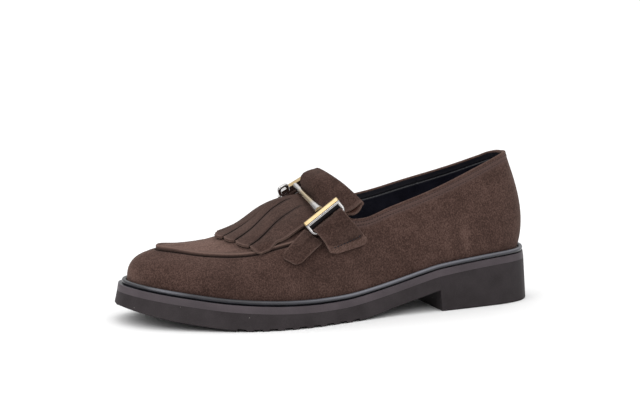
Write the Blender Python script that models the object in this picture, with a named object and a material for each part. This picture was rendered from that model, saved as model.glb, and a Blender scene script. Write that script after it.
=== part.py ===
"""Left slip-on loafer: hollow upper, cleated sole, fringed flap and a metal snaffle bar.

All sizes below are in millimetres, from the back of the heel (x), the heel's middle (y,
positive to the outer side of the foot) and the floor (z). The mesh is made in metres,
with the toe towards +X and the origin on the floor under the middle of the box.
"""
import math

import bmesh
import bpy
import numpy as np
from mathutils import Vector
from mathutils.bvhtree import BVHTree

for old in list(bpy.data.objects):
    bpy.data.objects.remove(old, do_unlink=True)

MM = 0.001
LATERAL, MEDIAL = 1, -1
HEEL_BACK, TOE_TIP = -0.8, 271.8   # ends of the sole at the floor edge
LENGTH = TOE_TIP - HEEL_BACK
TIP_Y = -9.0            # the toe tip lies towards the inner side
GAP = 0.3               # between pieces that meet
WALL = 1.8              # upper leather with its lining
BAND_HEIGHT = 4.3       # pale strip round the top of the sole
BAND_INSET = 2.0        # sole side leans in by this much up to the strip
RAND_RADIUS = 1.5       # glossy bead in the corner between strip and upper
BREAST_X = 72.0         # front wall of the heel
BREAST_RUN = 1.6        # how far that wall leans forward
LUG_PITCH, LUG_SLOT, LUG_DEPTH, LUG_REACH = 9.4, 5.2, 1.4, 9.0
LUG_FROM, LUG_TO = 132.0, 208.0
LUG_RAMP = 0.3          # the slots' walls lean by this much
LUG_SHARE = 0.3         # lugs never reach further across than this share of the width
SIDE_BREAK = 0.4        # height of the extra row in the sole's side
INSOLE_INSET = 2.6      # from the foot of the upper
INSOLE_THICK = 2.4
RAND_SHARES = np.linspace(0.0, 1.0, 41)
SOLE_STATIONS, WELT_STATIONS, INSOLE_STATIONS = 64, 60, 40
END_KEEP = 0.004        # stations keep this share off the outline's two tips
RAY_START = 150.0       # rays that find the upper start this far out
UP = np.array([0.0, 0.0, 1.0])

# outline of the sole on the floor: share of the length, outer edge y, inner edge y
PLAN = (
    (0.030, 18.0, -18.0), (0.080, 26.0, -26.0), (0.160, 30.2, -30.2), (0.280, 34.0, -31.0),
    (0.400, 37.5, -31.0), (0.520, 44.5, -33.5), (0.600, 49.5, -37.3), (0.660, 51.0, -40.7),
    (0.720, 49.5, -43.6), (0.780, 45.0, -45.5), (0.850, 36.5, -44.5), (0.910, 27.0, -40.5),
    (0.960, 15.5, -33.0), (0.985, 5.0, -25.0),
)
# sole heights: x, underside in front of the heel, top of the pale strip, inset of the upper's foot
HEIGHTS = (
    (0, 14.0, 31.0, 6.6), (27, 14.0, 30.5, 6.0), (47, 14.0, 29.1, 5.7), (67, 14.0, 27.1, 5.8),
    (74, 13.2, 26.2, 5.8), (86, 10.4, 23.6, 5.9), (104, 6.2, 19.4, 6.0), (122, 1.9, 16.0, 6.2),
    (137, 0.0, 14.0, 6.3), (158, 0.0, 13.4, 6.4), (176, 0.0, 13.8, 6.5), (191, 0.0, 14.5, 6.6),
    (203, 0.0, 15.3, 6.7), (220, 1.7, 16.8, 6.8), (234, 3.7, 18.7, 7.0), (249, 6.2, 20.8, 7.4),
    (262, 9.1, 22.8, 7.8), (272, 11.5, 24.1, 8.0),
)
# ridge of the upper under the flap: x, y, z, fall towards the outer side per mm
RIDGE = (
    (135, -14.0, 75.4, 0.25), (150, -13.5, 68.2, 0.20), (160, -12.0, 66.2, 0.18),
    (167, -11.0, 64.3, 0.16), (175, -10.0, 59.6, 0.12), (182, -9.0, 55.2, 0.09),
    (190, -8.0, 51.8, 0.07), (202, -7.0, 48.4, 0.05), (209, -6.3, 47.0, 0.03),
    (215, -6.0, 46.1, 0.02), (222, -6.0, 45.3, 0.0), (232, -6.0, 44.9, 0.0),
)
# top of each rib of the upper: share round the foot from heel back to toe tip, x, then
# y and z on the outer side, y and z on the inner side
TOPS = (
    (0.000, 16.2, 0.0, 95.3, 0.0, 95.3), (0.030, 16.9, 5.8, 96.0, -5.8, 94.9),
    (0.060, 19.1, 10.6, 96.2, -10.6, 93.9), (0.120, 26.0, 16.4, 94.6, -16.0, 90.6),
    (0.180, 44.0, 20.5, 88.0, -19.8, 84.8), (0.285, 74.0, 23.2, 76.5, -22.2, 77.3),
    (0.390, 104.0, 24.2, 67.0, -23.2, 70.2), (0.455, 123.0, 26.4, 61.4, -24.4, 67.2),
    (0.490, 132.0, 26.6, 62.2, -24.6, 68.8), (0.520, 134.6, 19.0, 66.9, -22.6, 71.9),
    (0.550, 135.0, 4.0, 71.8, -19.0, 74.2), (0.580, 135.0, -14.0, 75.4, -14.0, 75.4),
)
# where the ribs in front of the throat reach the ridge: share, x on the ridge
CROWN = (
    (0.580, 135.0), (0.610, 147.0), (0.650, 165.0), (0.700, 186.0), (0.750, 201.0),
    (0.800, 213.0), (0.860, 222.5), (0.930, 229.0), (1.000, 232.0),
)
THROAT = CROWN[0][0]    # ribs from here to the toe end on the ridge
COLLAR_END = 0.44       # ribs up to here end on the collar
# how each rib bends: share, rise of its first half, lean out, reach of its second half,
# fall of its second half (collar only), height of the seam along it, step of the apron there
RIBS = (
    (0.000, 0.33, 7.8, 1.00, 0.34, 0.62, 0.0), (0.120, 0.34, 5.8, 0.88, 0.32, 0.62, 0.0),
    (0.285, 0.38, 2.6, 0.50, 0.28, 0.62, 0.0), (0.430, 0.52, 2.6, 0.42, 0.18, 0.60, 0.0),
    (0.490, 0.58, 2.7, 0.42, 0.14, 0.57, 0.0), (0.520, 0.60, 2.8, 0.46, 0.10, 0.55, 0.3),
    (0.550, 0.62, 2.9, 0.53, 0.06, 0.52, 0.8), (0.580, 0.64, 2.9, 0.60, 0.04, 0.48, 1.2),
    (0.610, 0.65, 2.9, 0.63, 0.03, 0.475, 1.3),
    (0.700, 0.62, 2.6, 0.63, 0.02, 0.55, 1.3), (0.800, 0.64, 2.4, 0.64, 0.01, 0.65, 1.3),
    (0.900, 0.70, 2.2, 0.70, 0.01, 0.745, 1.3), (1.000, 0.78, 2.0, 0.72, 0.01, 0.755, 1.3),
)
RIB_SHARES = np.concatenate((np.linspace(0.0, 0.455, 17), np.linspace(0.475, 0.58, 8),
                             np.linspace(0.60, 1.0, 18)))
WALL_ROWS, APRON_ROWS = 7, 6
SEAM_RUN = 0.035        # the apron's cut edge, as a share of the rib
LIP = 1.5               # the apron's edge stands this much prouder than its middle
TROUGH = 0.4            # pull of the seam into the wall below the edge

FLAP_THICK = 1.5        # fringed flap
FLAP_CLEAR = 0.7        # its underside off the upper
# fringed flap up to the bar: share from its front, x on the ridge, outer end x and y,
# inner end x and y, extra lift off the upper
FLAP = (
    (0.00, 209.0, 193.0, 29.8, 193.0, -29.0, 0.3), (0.35, 190.0, 178.5, 30.6, 180.0, -28.0, 0.8),
    (0.70, 168.0, 163.0, 25.0, 165.0, -21.0, 1.3), (0.86, 158.5, 154.0, 22.0, 157.0, -16.6, 0.9),
    (1.00, 145.4, 145.8, 20.5, 144.6, -14.8, 0.0),
)
# rear fold of the flap: place across from inner (-1) to outer end (1), x, y, z, swell before it
FOLD = (
    (-1.00, 134.0, -20.0, 82.6, 4.4), (-0.66, 136.8, -18.2, 85.0, 5.6), (-0.33, 138.6, -15.2, 86.4, 6.4),
    (0.00, 138.8, -10.5, 86.8, 6.2), (0.33, 136.9, 4.0, 84.5, 4.5), (0.55, 133.6, 13.0, 81.1, 2.6),
    (0.78, 129.9, 22.5, 76.2, 0.2), (1.00, 126.4, 29.6, 71.2, -2.6),
)
FRONT_SWEEP = 1.5       # how late the flap's front edge turns back towards its ends
FOLD_LONG = 18.0        # from the bar to the rear fold
FOLD_ROWS = (0.3, 0.6, 0.85, 1.0)   # shares of that length
SWELL_LATE = 1.15       # most of the swell nearer to the fold than to the bar
FOLD_RADIUS = 1.4       # inside of the rear fold
FOLD_BACK = 0.78        # the folded layer comes back this share of the way to the bar
# edges of the strips across the flap, at its front and at the slits' roots
STRIP_FRONT = (-1.0, -0.70, -0.40, -0.10, 0.20, 0.49, 0.80, 1.0)
STRIP_ROOT = (-1.0, -0.82, -0.66, -0.48, -0.25, 0.05, 0.46, 1.0)
SLIT_ROOT = 0.88        # slits end here, as a share of the flap
SLIT_WIDE = 0.07        # slit at the front, as a share across
STRIP_ROWS, STRIP_COLUMNS, BODY_ROWS = 8, 3, 4

STRAP_THICK, STRAP_CLEAR = 1.8, 1.0
# feet of the wide straps seen from their side: x and z at the rear, then at the front
STRAP_FOOT = {
    LATERAL: ((122.4, 47.2), (150.3, 42.2)),
    MEDIAL: ((127.0, 52.0), (151.5, 46.5)),
}
STRAP_BELOW_ROD = 5.0   # the strap starts its turn this far below the rear rod
STRAP_BOW = {LATERAL: 1.2, MEDIAL: 1.4}   # and bows out this much over the upper on its way
STRAP_ROWS, STRAP_COLUMNS = 8, 9
LOOP_WIDE, LOOP_RADIUS = 21.4, 2.1
LOOP_TURNS = (0.0, 35.0, 70.0, 105.0)   # degrees round the rod, from outside to behind
# corners of the narrow tabs: x and z at the upper rear, lower rear, lower front, upper front
TAB = {
    LATERAL: ((162.8, 54.6), (154.8, 47.8), (172.6, 36.8), (181.8, 41.7)),
    MEDIAL: ((163.2, 62.6), (159.2, 53.4), (177.1, 42.0), (184.8, 48.0)),
}
TAB_BOW = {LATERAL: 2.0, MEDIAL: 2.0}
TAB_ROWS, TAB_COLUMNS = 10, 6
CORNER_ROUND, CORNER_FROM = 0.16, 0.6   # rounding of strap and tab ends, as shares

# snaffle: middle of each face bar, its direction, and the direction up the strap
FACE_BAR = {
    LATERAL: ((153.5, 32.2, 67.4), (-0.820, 0.0, 0.572), (0.54, -0.42, 0.74)),
    MEDIAL: ((149.4, -25.0, 76.8), (-0.88, 0.0, 0.47), (0.44, 0.46, 0.77)),
}
FACE_LONG, FACE_DEEP = 26.4, 12.0
FACE_BAR_WIDE, FACE_THICK = 6.5, 3.0   # gold face, silver bevel and dark lower face
FACE_DROP = 1.45        # the bar's middle below the place where the crossbar meets it
ROD_WIDE, ARM_WIDE = 2.2, 1.6   # rear rod and arms
BAR_END_GAP = 3.0       # crossbar end to the middle of the slanted face bar
# crossbar: share of its length, radius
CROSSBAR = (
    (0.00, 3.0), (0.10, 2.8), (0.25, 2.45), (0.45, 2.15), (0.65, 2.0), (0.82, 1.9), (0.93, 1.9), (1.00, 1.9),
)
# surfaces: colour, roughness, metallic
SUEDE = ((0.075, 0.044, 0.032), 0.95, 0.0)
SOLE_BLACK = ((0.035, 0.030, 0.030), 0.75, 0.0)
STRIP_GREY = ((0.095, 0.085, 0.088), 0.6, 0.0)
BEAD_BLACK = ((0.012, 0.012, 0.014), 0.2, 0.0)
LINING_BLACK = ((0.020, 0.018, 0.020), 0.6, 0.0)
GOLD = ((0.85, 0.66, 0.33), 0.25, 1.0)
SILVER = ((0.78, 0.72, 0.60), 0.22, 1.0)
BAR_TURNS = np.linspace(0.0, 2 * math.pi, 12, endpoint=False)
RAND_TURNS = np.linspace(0.0, 2 * math.pi, 7, endpoint=False)


def unit(vector):
    vector = np.asarray(vector, float)
    return vector / np.linalg.norm(vector)


def curve(knots, values):
    """Smooth curve through the rows of a table, level past its ends."""
    knot, value = np.asarray(knots, float), np.asarray(values, float)
    run = np.diff(knot)
    rate = np.diff(value) / run
    slope = np.empty_like(value)
    slope[1:-1] = (rate[:-1] * run[1:] + rate[1:] * run[:-1]) / (run[1:] + run[:-1])
    slope[0], slope[-1] = rate[0], rate[-1]

    def at(where):
        where = np.clip(np.asarray(where, float), knot[0], knot[-1])
        i = np.clip(np.searchsorted(knot, where) - 1, 0, len(run) - 1)
        t = (where - knot[i]) / run[i]
        keep = value[i] * (1 + 2 * t) * (1 - t) ** 2 + value[i + 1] * t * t * (3 - 2 * t)
        return keep + run[i] * (slope[i] * t * (1 - t) ** 2 - slope[i + 1] * t * t * (1 - t))
    return at


def table(rows):
    """One smooth curve per column over the first column."""
    column = np.asarray(rows, float).T
    return [curve(column[0], values) for values in column[1:]]


underside, strip_top, foot_inset = table(HEIGHTS)
ridge_y, ridge_z, ridge_fall = table(RIDGE)
collar_x, lateral_y, lateral_z, medial_y, medial_z = table(TOPS)
(crown_x,) = table(CROWN)
rise_at, lean_at, reach_at, fall_at, seam_at, step_at = table(RIBS)


def side_paths(samples=400):
    """Both edges of the floor outline as dense paths from heel back to toe tip."""
    outer = [(HEEL_BACK + LENGTH * share, y) for share, y, _ in PLAN]
    inner = [(HEEL_BACK + LENGTH * share, y) for share, _, y in PLAN]
    ring = [(HEEL_BACK, 0.0)] + outer + [(TOE_TIP, TIP_Y)] + inner[::-1]
    wrapped = np.array(ring[-3:] + ring + ring[:4])
    spacing = np.sqrt(np.linalg.norm(np.diff(wrapped, axis=0), axis=1))
    along = np.concatenate(([0.0], np.cumsum(spacing)))
    path_x, path_y = curve(along, wrapped[:, 0]), curve(along, wrapped[:, 1])
    heel, tip, back = along[3], along[4 + len(outer)], along[3 + len(ring)]
    paths = {}
    for side, ends in ((LATERAL, (heel, tip)), (MEDIAL, (back, tip))):
        at = np.linspace(ends[0], ends[1], samples)
        points = np.column_stack((path_x(at), path_y(at)))
        length = np.concatenate(([0.0], np.cumsum(np.linalg.norm(np.diff(points, axis=0), axis=1))))
        tangent = np.gradient(points, axis=0)
        tangent /= np.linalg.norm(tangent, axis=1)[:, None]
        outward = np.column_stack((-tangent[:, 1], tangent[:, 0])) * side
        paths[side] = (length / length[-1], points, outward)
    return paths


PATHS = side_paths()
CENTRE_Y = (PATHS[LATERAL][1][:, 1].max() + PATHS[MEDIAL][1][:, 1].min()) / 2


def edge(side, share, inset=0.0):
    """Point of the outline, moved inwards."""
    shares, points, outward = PATHS[side]
    at = [np.interp(share, shares, points[:, k]) for k in (0, 1)]
    out = outward_at(side, share)
    return np.array([at[0] - inset * out[0], at[1] - inset * out[1]])


def outward_at(side, share):
    shares, _, outward = PATHS[side]
    out = np.array([np.interp(share, shares, outward[:, k]) for k in (0, 1)])
    return out / np.linalg.norm(out)


def share_at(x):
    """Share of the outer edge at a distance from the heel."""
    shares, points, _ = PATHS[LATERAL]
    return float(np.interp(x, points[:, 0], shares))


def make(name, verts, faces, look):
    """Named object in metres, with outward faces and its own material."""
    colour, roughness, metallic = look
    shift = np.array([(HEEL_BACK + TOE_TIP) / 2, CENTRE_Y, 0.0])
    mesh = bpy.data.meshes.new(name)
    form = bmesh.new()
    points = [form.verts.new((np.asarray(v, float) - shift) * MM) for v in verts]
    for face in faces:
        form.faces.new([points[i] for i in face])
    bmesh.ops.triangulate(form, faces=form.faces[:])
    bmesh.ops.recalc_face_normals(form, faces=form.faces[:])
    form.to_mesh(mesh)
    form.free()
    thing = bpy.data.objects.new(name, mesh)
    bpy.context.scene.collection.objects.link(thing)
    surface = bpy.data.materials.new(name)
    surface.use_nodes = True
    shader = surface.node_tree.nodes["Principled BSDF"]
    shader.inputs["Base Color"].default_value = (*colour, 1.0)
    shader.inputs["Roughness"].default_value = roughness
    shader.inputs["Metallic"].default_value = metallic
    mesh.materials.append(surface)
    return thing


def loft(sections, closed=False):
    """Skin over rings of equal length; open rows of rings get an end face each."""
    count, size = len(sections), len(sections[0])
    verts = [p for ring in sections for p in ring]
    faces = []
    for i in range(count if closed else count - 1):
        j = (i + 1) % count
        for k in range(size):
            m = (k + 1) % size
            faces.append((i * size + k, i * size + m, j * size + m, j * size + k))
    if not closed:
        faces.append(tuple(range(size)))
        faces.append(tuple((count - 1) * size + k for k in range(size)))
    return verts, faces


def sheet_normals(verts, faces):
    """Vertex normals of an open sheet, by area."""
    total = np.zeros_like(verts)
    for face in faces:
        p = verts[list(face)]
        lean = np.cross(p[2] - p[0], p[-1] - p[1])
        for i in face:
            total[i] += lean
    return total / np.linalg.norm(total, axis=1)[:, None]


def thicken(verts, faces, normals, above, below):
    """Solid from an open sheet: moved out by one amount, in by the other, walled at its edges."""
    count = len(verts)
    solid = np.vstack((verts + normals * above[:, None], verts - normals * below[:, None]))
    skin = [tuple(face) for face in faces] + [tuple(i + count for i in face[::-1]) for face in faces]
    seen = {}
    for face in faces:
        for a, b in zip(face, face[1:] + face[:1]):
            seen[(a, b)] = True
    for a, b in seen:
        if (b, a) not in seen:
            skin.append((b, a, a + count, b + count))
    return solid, skin


def end_spread(count):
    """Shares from heel to toe, closer together at both ends."""
    t = np.linspace(0.0, 1.0, count)
    shares = 0.5 * t + 0.25 * (1 - np.cos(math.pi * t))
    return np.clip(shares, END_KEEP, 1 - END_KEEP)


def outsole():
    """Moulded unit: heel block, waist, forefoot with slots between its edge lugs."""
    breast = share_at(BREAST_X)
    ahead = share_at(BREAST_X + BREAST_RUN)
    stations = [(s, 0.0) for s in end_spread(SOLE_STATIONS) if s < breast or s > ahead]
    stations += [(breast, 0.0), (ahead, 0.0)]
    slot = ((0.0, 0.0), (LUG_RAMP, LUG_DEPTH), (LUG_SLOT - LUG_RAMP, LUG_DEPTH), (LUG_SLOT, 0.0))
    for x in np.arange(LUG_FROM, LUG_TO, LUG_PITCH):
        for dx, deep in slot:
            stations.append((share_at(x + dx), deep))
    sections = []
    for share, cut in sorted(stations):
        feet = {side: edge(side, share) for side in (LATERAL, MEDIAL)}
        width = np.linalg.norm(feet[LATERAL] - feet[MEDIAL])
        reach = min(LUG_REACH / width, LUG_SHARE)
        ring = {}
        for side, foot in feet.items():
            rim = edge(side, share, BAND_INSET + GAP)
            inner = foot + (feet[-side] - foot) * reach
            low = 0.0 if share <= breast else max(0.0, float(underside(foot[0])))
            top = float(strip_top(rim[0])) - BAND_HEIGHT - GAP
            waist = foot + (rim - foot) * SIDE_BREAK
            ring[side] = ((*inner, low), (*foot, low + cut),
                          (*waist, low + cut + SIDE_BREAK * (top - low - cut)), (*rim, top))
        sections.append(list(ring[LATERAL]) + list(ring[MEDIAL])[::-1])
    return loft(sections)


def layer(shares, inset, low, top):
    """Layer that follows the outline, between two heights above the pale strip's top."""
    sections = []
    for share in shares:
        ring = []
        for side in (LATERAL, MEDIAL):
            at = edge(side, share, inset(edge(side, share)[0]))
            level = float(strip_top(at[0]))
            pair = [(*at, level + low), (*at, level + top)]
            ring += pair if side == LATERAL else pair[::-1]
        sections.append(ring)
    return loft(sections)


def foot_point(side, share):
    """Lower edge of the upper."""
    x = edge(side, share)[0]
    at = edge(side, share, float(foot_inset(x)))
    return np.array([at[0], at[1], float(strip_top(at[0])) + GAP])


def top_point(side, share):
    """Upper end of a rib: on the collar, the throat's edge or the ridge."""
    if share >= THROAT:
        x = float(crown_x(share))
        return np.array([x, float(ridge_y(x)), float(ridge_z(x))])
    y, z = (lateral_y, lateral_z) if side == LATERAL else (medial_y, medial_z)
    return np.array([float(collar_x(share)), float(y(share)), float(z(share))])


def rib(side, share):
    """The four control points of one rib of the upper."""
    foot, top = foot_point(side, share), top_point(side, share)
    height = top[2] - foot[2]
    lean = outward_at(side, share) * float(lean_at(share))
    first = foot + np.array([*lean, float(rise_at(share)) * height])
    second = top + float(reach_at(share)) * (foot - top)
    collar = top[2] - float(fall_at(share)) * height
    along_ridge = float(ridge_z(second[0]) - ridge_z(top[0]))
    saddle = top[2] + along_ridge - float(ridge_fall(top[0])) * (second[1] - top[1])
    turn = min(max((share - COLLAR_END) / (THROAT - COLLAR_END), 0.0), 1.0)
    second[2] = collar + (saddle - collar) * turn * turn * (3 - 2 * turn)
    return foot, first, second, top


def along_rib(control, t):
    a, b, c, d = control
    return a * (1 - t) ** 3 + b * 3 * t * (1 - t) ** 2 + c * 3 * t * t * (1 - t) + d * t ** 3


def upper_sheet():
    """Outer face of the upper's wall as an open sheet, with the apron's step per vertex."""
    verts, step, index = [], [], {}
    last = WALL_ROWS + APRON_ROWS + 1
    for i, share in enumerate(RIB_SHARES):
        for side in (LATERAL, MEDIAL):
            control = rib(side, share)
            seam, proud = float(seam_at(share)), float(step_at(share))
            wall = np.linspace(0.0, seam, WALL_ROWS + 1)
            apron = np.linspace(seam + SEAM_RUN, 1.0, APRON_ROWS + 1)
            for j, t in enumerate(np.concatenate((wall, apron))):
                single = i in (0, len(RIB_SHARES) - 1) or (j == last and share >= THROAT)
                if side == MEDIAL and single:
                    index[(side, i, j)] = index[(LATERAL, i, j)]
                    continue
                index[(side, i, j)] = len(verts)
                verts.append(along_rib(control, t))
                edge_row = j == WALL_ROWS + 1
                share_step = -TROUGH / LIP if j == WALL_ROWS else (1.0 if j > WALL_ROWS else 0.0)
                step.append(proud * share_step * (LIP if edge_row else 1.0))
    faces = []
    for i in range(len(RIB_SHARES) - 1):
        for j in range(last):
            for side in (LATERAL, MEDIAL):
                ring = [index[(side, i, j)], index[(side, i + 1, j)],
                        index[(side, i + 1, j + 1)], index[(side, i, j + 1)]]
                faces.append(tuple(ring if side == LATERAL else ring[::-1]))
    return np.array(verts), faces, np.array(step)


upper_verts, upper_faces, upper_step = upper_sheet()
upper_normals = sheet_normals(upper_verts, upper_faces)
if upper_normals[0][0] > 0:
    upper_normals = -upper_normals


def rand():
    """Bead that runs round the foot of the upper on the strip's ledge."""
    sections = []
    walk = [(LATERAL, s) for s in RAND_SHARES] + [(MEDIAL, s) for s in RAND_SHARES[-2:0:-1]]
    for side, share in walk:
        foot = foot_point(side, share)
        out = np.array([*outward_at(side, share), 0.0])
        control = rib(side, share)
        lean = np.dot(control[1] - foot, out) / (control[1] - foot)[2]
        centre = foot + out * (RAND_RADIUS + GAP + 2 * lean * RAND_RADIUS) + UP * (RAND_RADIUS + GAP)
        ring = [centre + RAND_RADIUS * (math.cos(a) * out + math.sin(a) * UP) for a in RAND_TURNS]
        sections.append(ring)
    return loft(sections, closed=True)


def frame_ring(centre, along, up_strap):
    """Flat rectangular ring of bar: a face bar and a rear rod joined by two arms."""
    normal = np.cross(along, up_strap) * FACE_THICK / 2
    sections = []
    for a, b, wide in ((1, 1, FACE_BAR_WIDE), (-1, 1, FACE_BAR_WIDE), (-1, -1, ROD_WIDE), (1, -1, ROD_WIDE)):
        outer = centre + a * along * FACE_LONG / 2 + b * up_strap * FACE_DEEP / 2
        inner = outer - a * along * ARM_WIDE - b * up_strap * wide
        sections.append([outer + normal, inner + normal, inner - normal, outer - normal])
    return loft(sections, closed=True)


def turned_bar(start, finish):
    """Round bar between two points, thicker towards the first one."""
    axis = unit(finish - start)
    side = unit(np.cross(axis, UP))
    over = np.cross(side, axis)
    sections = []
    for share, radius in CROSSBAR:
        centre = start + share * (finish - start)
        sections.append([centre + radius * (math.cos(a) * side + math.sin(a) * over) for a in BAR_TURNS])
    return loft(sections)


def drape(points, towards, lift):
    """Puts points down on the upper's outer face along a direction, then off it by a lift."""
    placed = []
    for point, off in zip(points, lift):
        start = Vector(point) - Vector(towards) * RAY_START
        hit, normal, _, _ = SKIN.ray_cast(start, Vector(towards))
        if hit is None:
            hit, normal, _, _ = SKIN.find_nearest(Vector(point))
        if normal.dot(Vector(towards)) > 0:
            normal = -normal
        placed.append(np.array(hit) + np.array(normal) * off)
    return np.array(placed)


def patch(rows, columns, place):
    """Grid sheet over two shares, each vertex placed by a function."""
    verts = [place(r / (rows - 1), c / (columns - 1)) for r in range(rows) for c in range(columns)]
    faces = []
    for r in range(rows - 1):
        for c in range(columns - 1):
            i = r * columns + c
            faces.append((i, i + 1, i + columns + 1, i + columns))
    return np.array(verts), faces


def leather(name, verts, faces, outwards, thick):
    """Leather piece from an open sheet that lies clear of the upper."""
    normals = sheet_normals(verts, faces)
    if np.dot(normals.mean(axis=0), outwards) < 0:
        normals = -normals
    solid, skin = thicken(verts, faces, normals, np.full(len(verts), thick), np.zeros(len(verts)))
    return make(name, solid, skin, SUEDE)


def welt_inset(x):
    return BAND_INSET


def insole_inset(x):
    return float(foot_inset(x)) + INSOLE_INSET


make("outsole", *outsole(), SOLE_BLACK)
make("welt", *layer(end_spread(WELT_STATIONS), welt_inset, -BAND_HEIGHT, 0.0), STRIP_GREY)
make("rand", *rand(), BEAD_BLACK)
insole = layer(end_spread(INSOLE_STATIONS)[1:-1], insole_inset, GAP, GAP + INSOLE_THICK)
make("insole", *insole, LINING_BLACK)
walls = np.full(len(upper_verts), WALL)
solid, skin = thicken(upper_verts, upper_faces, upper_normals, upper_step, walls)
make("upper", solid, skin, SUEDE)
SKIN = BVHTree.FromPolygons([tuple(v) for v in solid[:len(upper_verts)]], upper_faces)


flap_ridge, flap_lat_x, flap_lat_y, flap_med_x, flap_med_y, flap_lift = table(FLAP)
fold_x, fold_y, fold_z, fold_swell = table(FOLD)


def flap_point(along, across):
    """Underside of the flap on the upper, from its front (0) to the bar (1)."""
    end_x, end_y = (flap_lat_x, flap_lat_y) if across >= 0 else (flap_med_x, flap_med_y)
    ridge = float(flap_ridge(along))
    share = abs(across)
    x = ridge + (float(end_x(along)) - ridge) * share ** FRONT_SWEEP
    y = float(ridge_y(ridge)) + (float(end_y(along)) - float(ridge_y(ridge))) * share
    return drape([(x, y, 0.0)], -UP, [FLAP_CLEAR + float(flap_lift(along))])[0]


def fold_point(back, across, under):
    """Behind the bar: the flap swells, folds over at the rear and comes back underneath."""
    bar = flap_point(1.0, across)
    rear = np.array([float(fold_x(across)), float(fold_y(across)), float(fold_z(across))])
    path = rear - bar
    sideways = np.array([0.0, 1.0, 0.0])
    off = np.cross(path, sideways)
    off *= np.sign(off[2]) / np.linalg.norm(off)
    swell = float(fold_swell(across)) * math.sin(math.pi * min(back, 1.0) ** SWELL_LATE)
    return bar + back * path + off * (swell - 2 * FOLD_RADIUS * under)


def strip_edge(number, along):
    """Place across of a strip's edge, which runs obliquely from the front to the slit's root."""
    share = along / SLIT_ROOT
    return STRIP_FRONT[number] * (1 - share) + STRIP_ROOT[number] * share


def strip_key(strip, row, column):
    """Name of a vertex of the fringe; the strips share their vertices along the slits' roots."""
    if row == STRIP_ROWS - 1:
        return ("root", strip * STRIP_COLUMNS + column)
    return ("strip", strip, row, column)


def flap():
    """One sheet: strips with slits between them at the front, the folded roll at the rear."""
    verts, faces, index = [], [], {}

    def vertex(key, point):
        if key not in index:
            index[key] = len(verts)
            verts.append(point)
        return index[key]

    fronts = np.linspace(0.0, SLIT_ROOT, STRIP_ROWS)
    body = np.linspace(SLIT_ROOT, 1.0, BODY_ROWS)[1:]
    for k in range(len(STRIP_FRONT) - 1):
        for r, along in enumerate(fronts):
            slit = SLIT_WIDE * (1 - along / SLIT_ROOT) / 2
            inner = strip_edge(k, along) + (slit if k else 0.0)
            outer = strip_edge(k + 1, along) - (slit if k < len(STRIP_FRONT) - 2 else 0.0)
            for c in range(STRIP_COLUMNS + 1):
                across = inner + (outer - inner) * c / STRIP_COLUMNS
                vertex(strip_key(k, r, c), flap_point(along, across))
        for r in range(STRIP_ROWS - 1):
            for c in range(STRIP_COLUMNS):
                corner = []
                for rr, cc in ((r, c), (r, c + 1), (r + 1, c + 1), (r + 1, c)):
                    corner.append(index[strip_key(k, rr, cc)])
                faces.append(tuple(corner))
    columns = [left + (right - left) * c / STRIP_COLUMNS for left, right in zip(STRIP_ROOT, STRIP_ROOT[1:])
               for c in range(STRIP_COLUMNS)] + [STRIP_ROOT[-1]]
    rows = [[flap_point(along, w) for w in columns] for along in body]
    for back in FOLD_ROWS:
        rows.append([fold_point(back, w, 0.0) for w in columns])
    rows.append([fold_point(1.0 + FOLD_RADIUS / FOLD_LONG, w, 0.5) for w in columns])
    for back in (1.0, (1.0 + FOLD_BACK) / 2, FOLD_BACK):
        rows.append([fold_point(back, w, 1.0) for w in columns])
    before = [index[("root", c)] for c in range(len(columns))]
    for r, row in enumerate(rows):
        now = [vertex(("body", r, c), point) for c, point in enumerate(row)]
        for c in range(len(columns) - 1):
            faces.append((before[c], before[c + 1], now[c + 1], now[c]))
        before = now
    return np.array(verts), faces


def rounded(u, v):
    """Pulls the corners of a unit square in along its first edge."""
    corner = max(0.0, abs(2 * v - 1) - CORNER_FROM) / (1 - CORNER_FROM)
    return u + CORNER_ROUND * corner ** 2 * (1 - u)


def on_side(start, finish, side, share):
    """Point just off the side of the upper between two points given as x and z."""
    x, z = np.array(start) * (1 - share) + np.array(finish) * share
    return drape([(x, 0.0, z)], np.array([0.0, -side, 0.0]), [STRAP_CLEAR])[0]


def bowed(start, finish, share, bow):
    """Point on a line that bows out in its middle."""
    return start + (finish - start) * share + bow * 4 * share * (1 - share)


def ring_frame(side):
    """Middle of the ring, its two directions, its outward normal and the middle of its rod."""
    middle, along, up_strap = FACE_BAR[side]
    along, up_strap = unit(along), unit(up_strap)
    up_strap = unit(up_strap - along * np.dot(along, up_strap))
    centre = np.array(middle) - up_strap * (FACE_DROP + (FACE_DEEP - FACE_BAR_WIDE) / 2)
    outward = np.cross(along, up_strap)
    outward *= side * np.sign(outward[1])
    rod = centre - up_strap * (FACE_DEEP - ROD_WIDE) / 2
    return centre, along, up_strap, outward, rod


def strap(side):
    """Wide strap: from a foot on the side of the upper up and round the ring's rear rod."""
    _, along, up_strap, outward, rod = ring_frame(side)
    rear, front = STRAP_FOOT[side]
    rows = STRAP_ROWS + len(LOOP_TURNS)

    def place(u, v):
        row = round(u * (rows - 1))
        across = rod + along * LOOP_WIDE * (0.5 - v)
        if row >= STRAP_ROWS:
            angle = math.radians(LOOP_TURNS[row - STRAP_ROWS])
            return across + LOOP_RADIUS * (math.cos(angle) * outward + math.sin(angle) * up_strap)
        foot = on_side(rear, front, side, v)
        top = across + LOOP_RADIUS * outward - up_strap * STRAP_BELOW_ROD
        share = rounded(row / (STRAP_ROWS - 1), v)
        return bowed(foot, top, share, outward * STRAP_BOW[side])
    return patch(rows, STRAP_COLUMNS, place)


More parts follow.
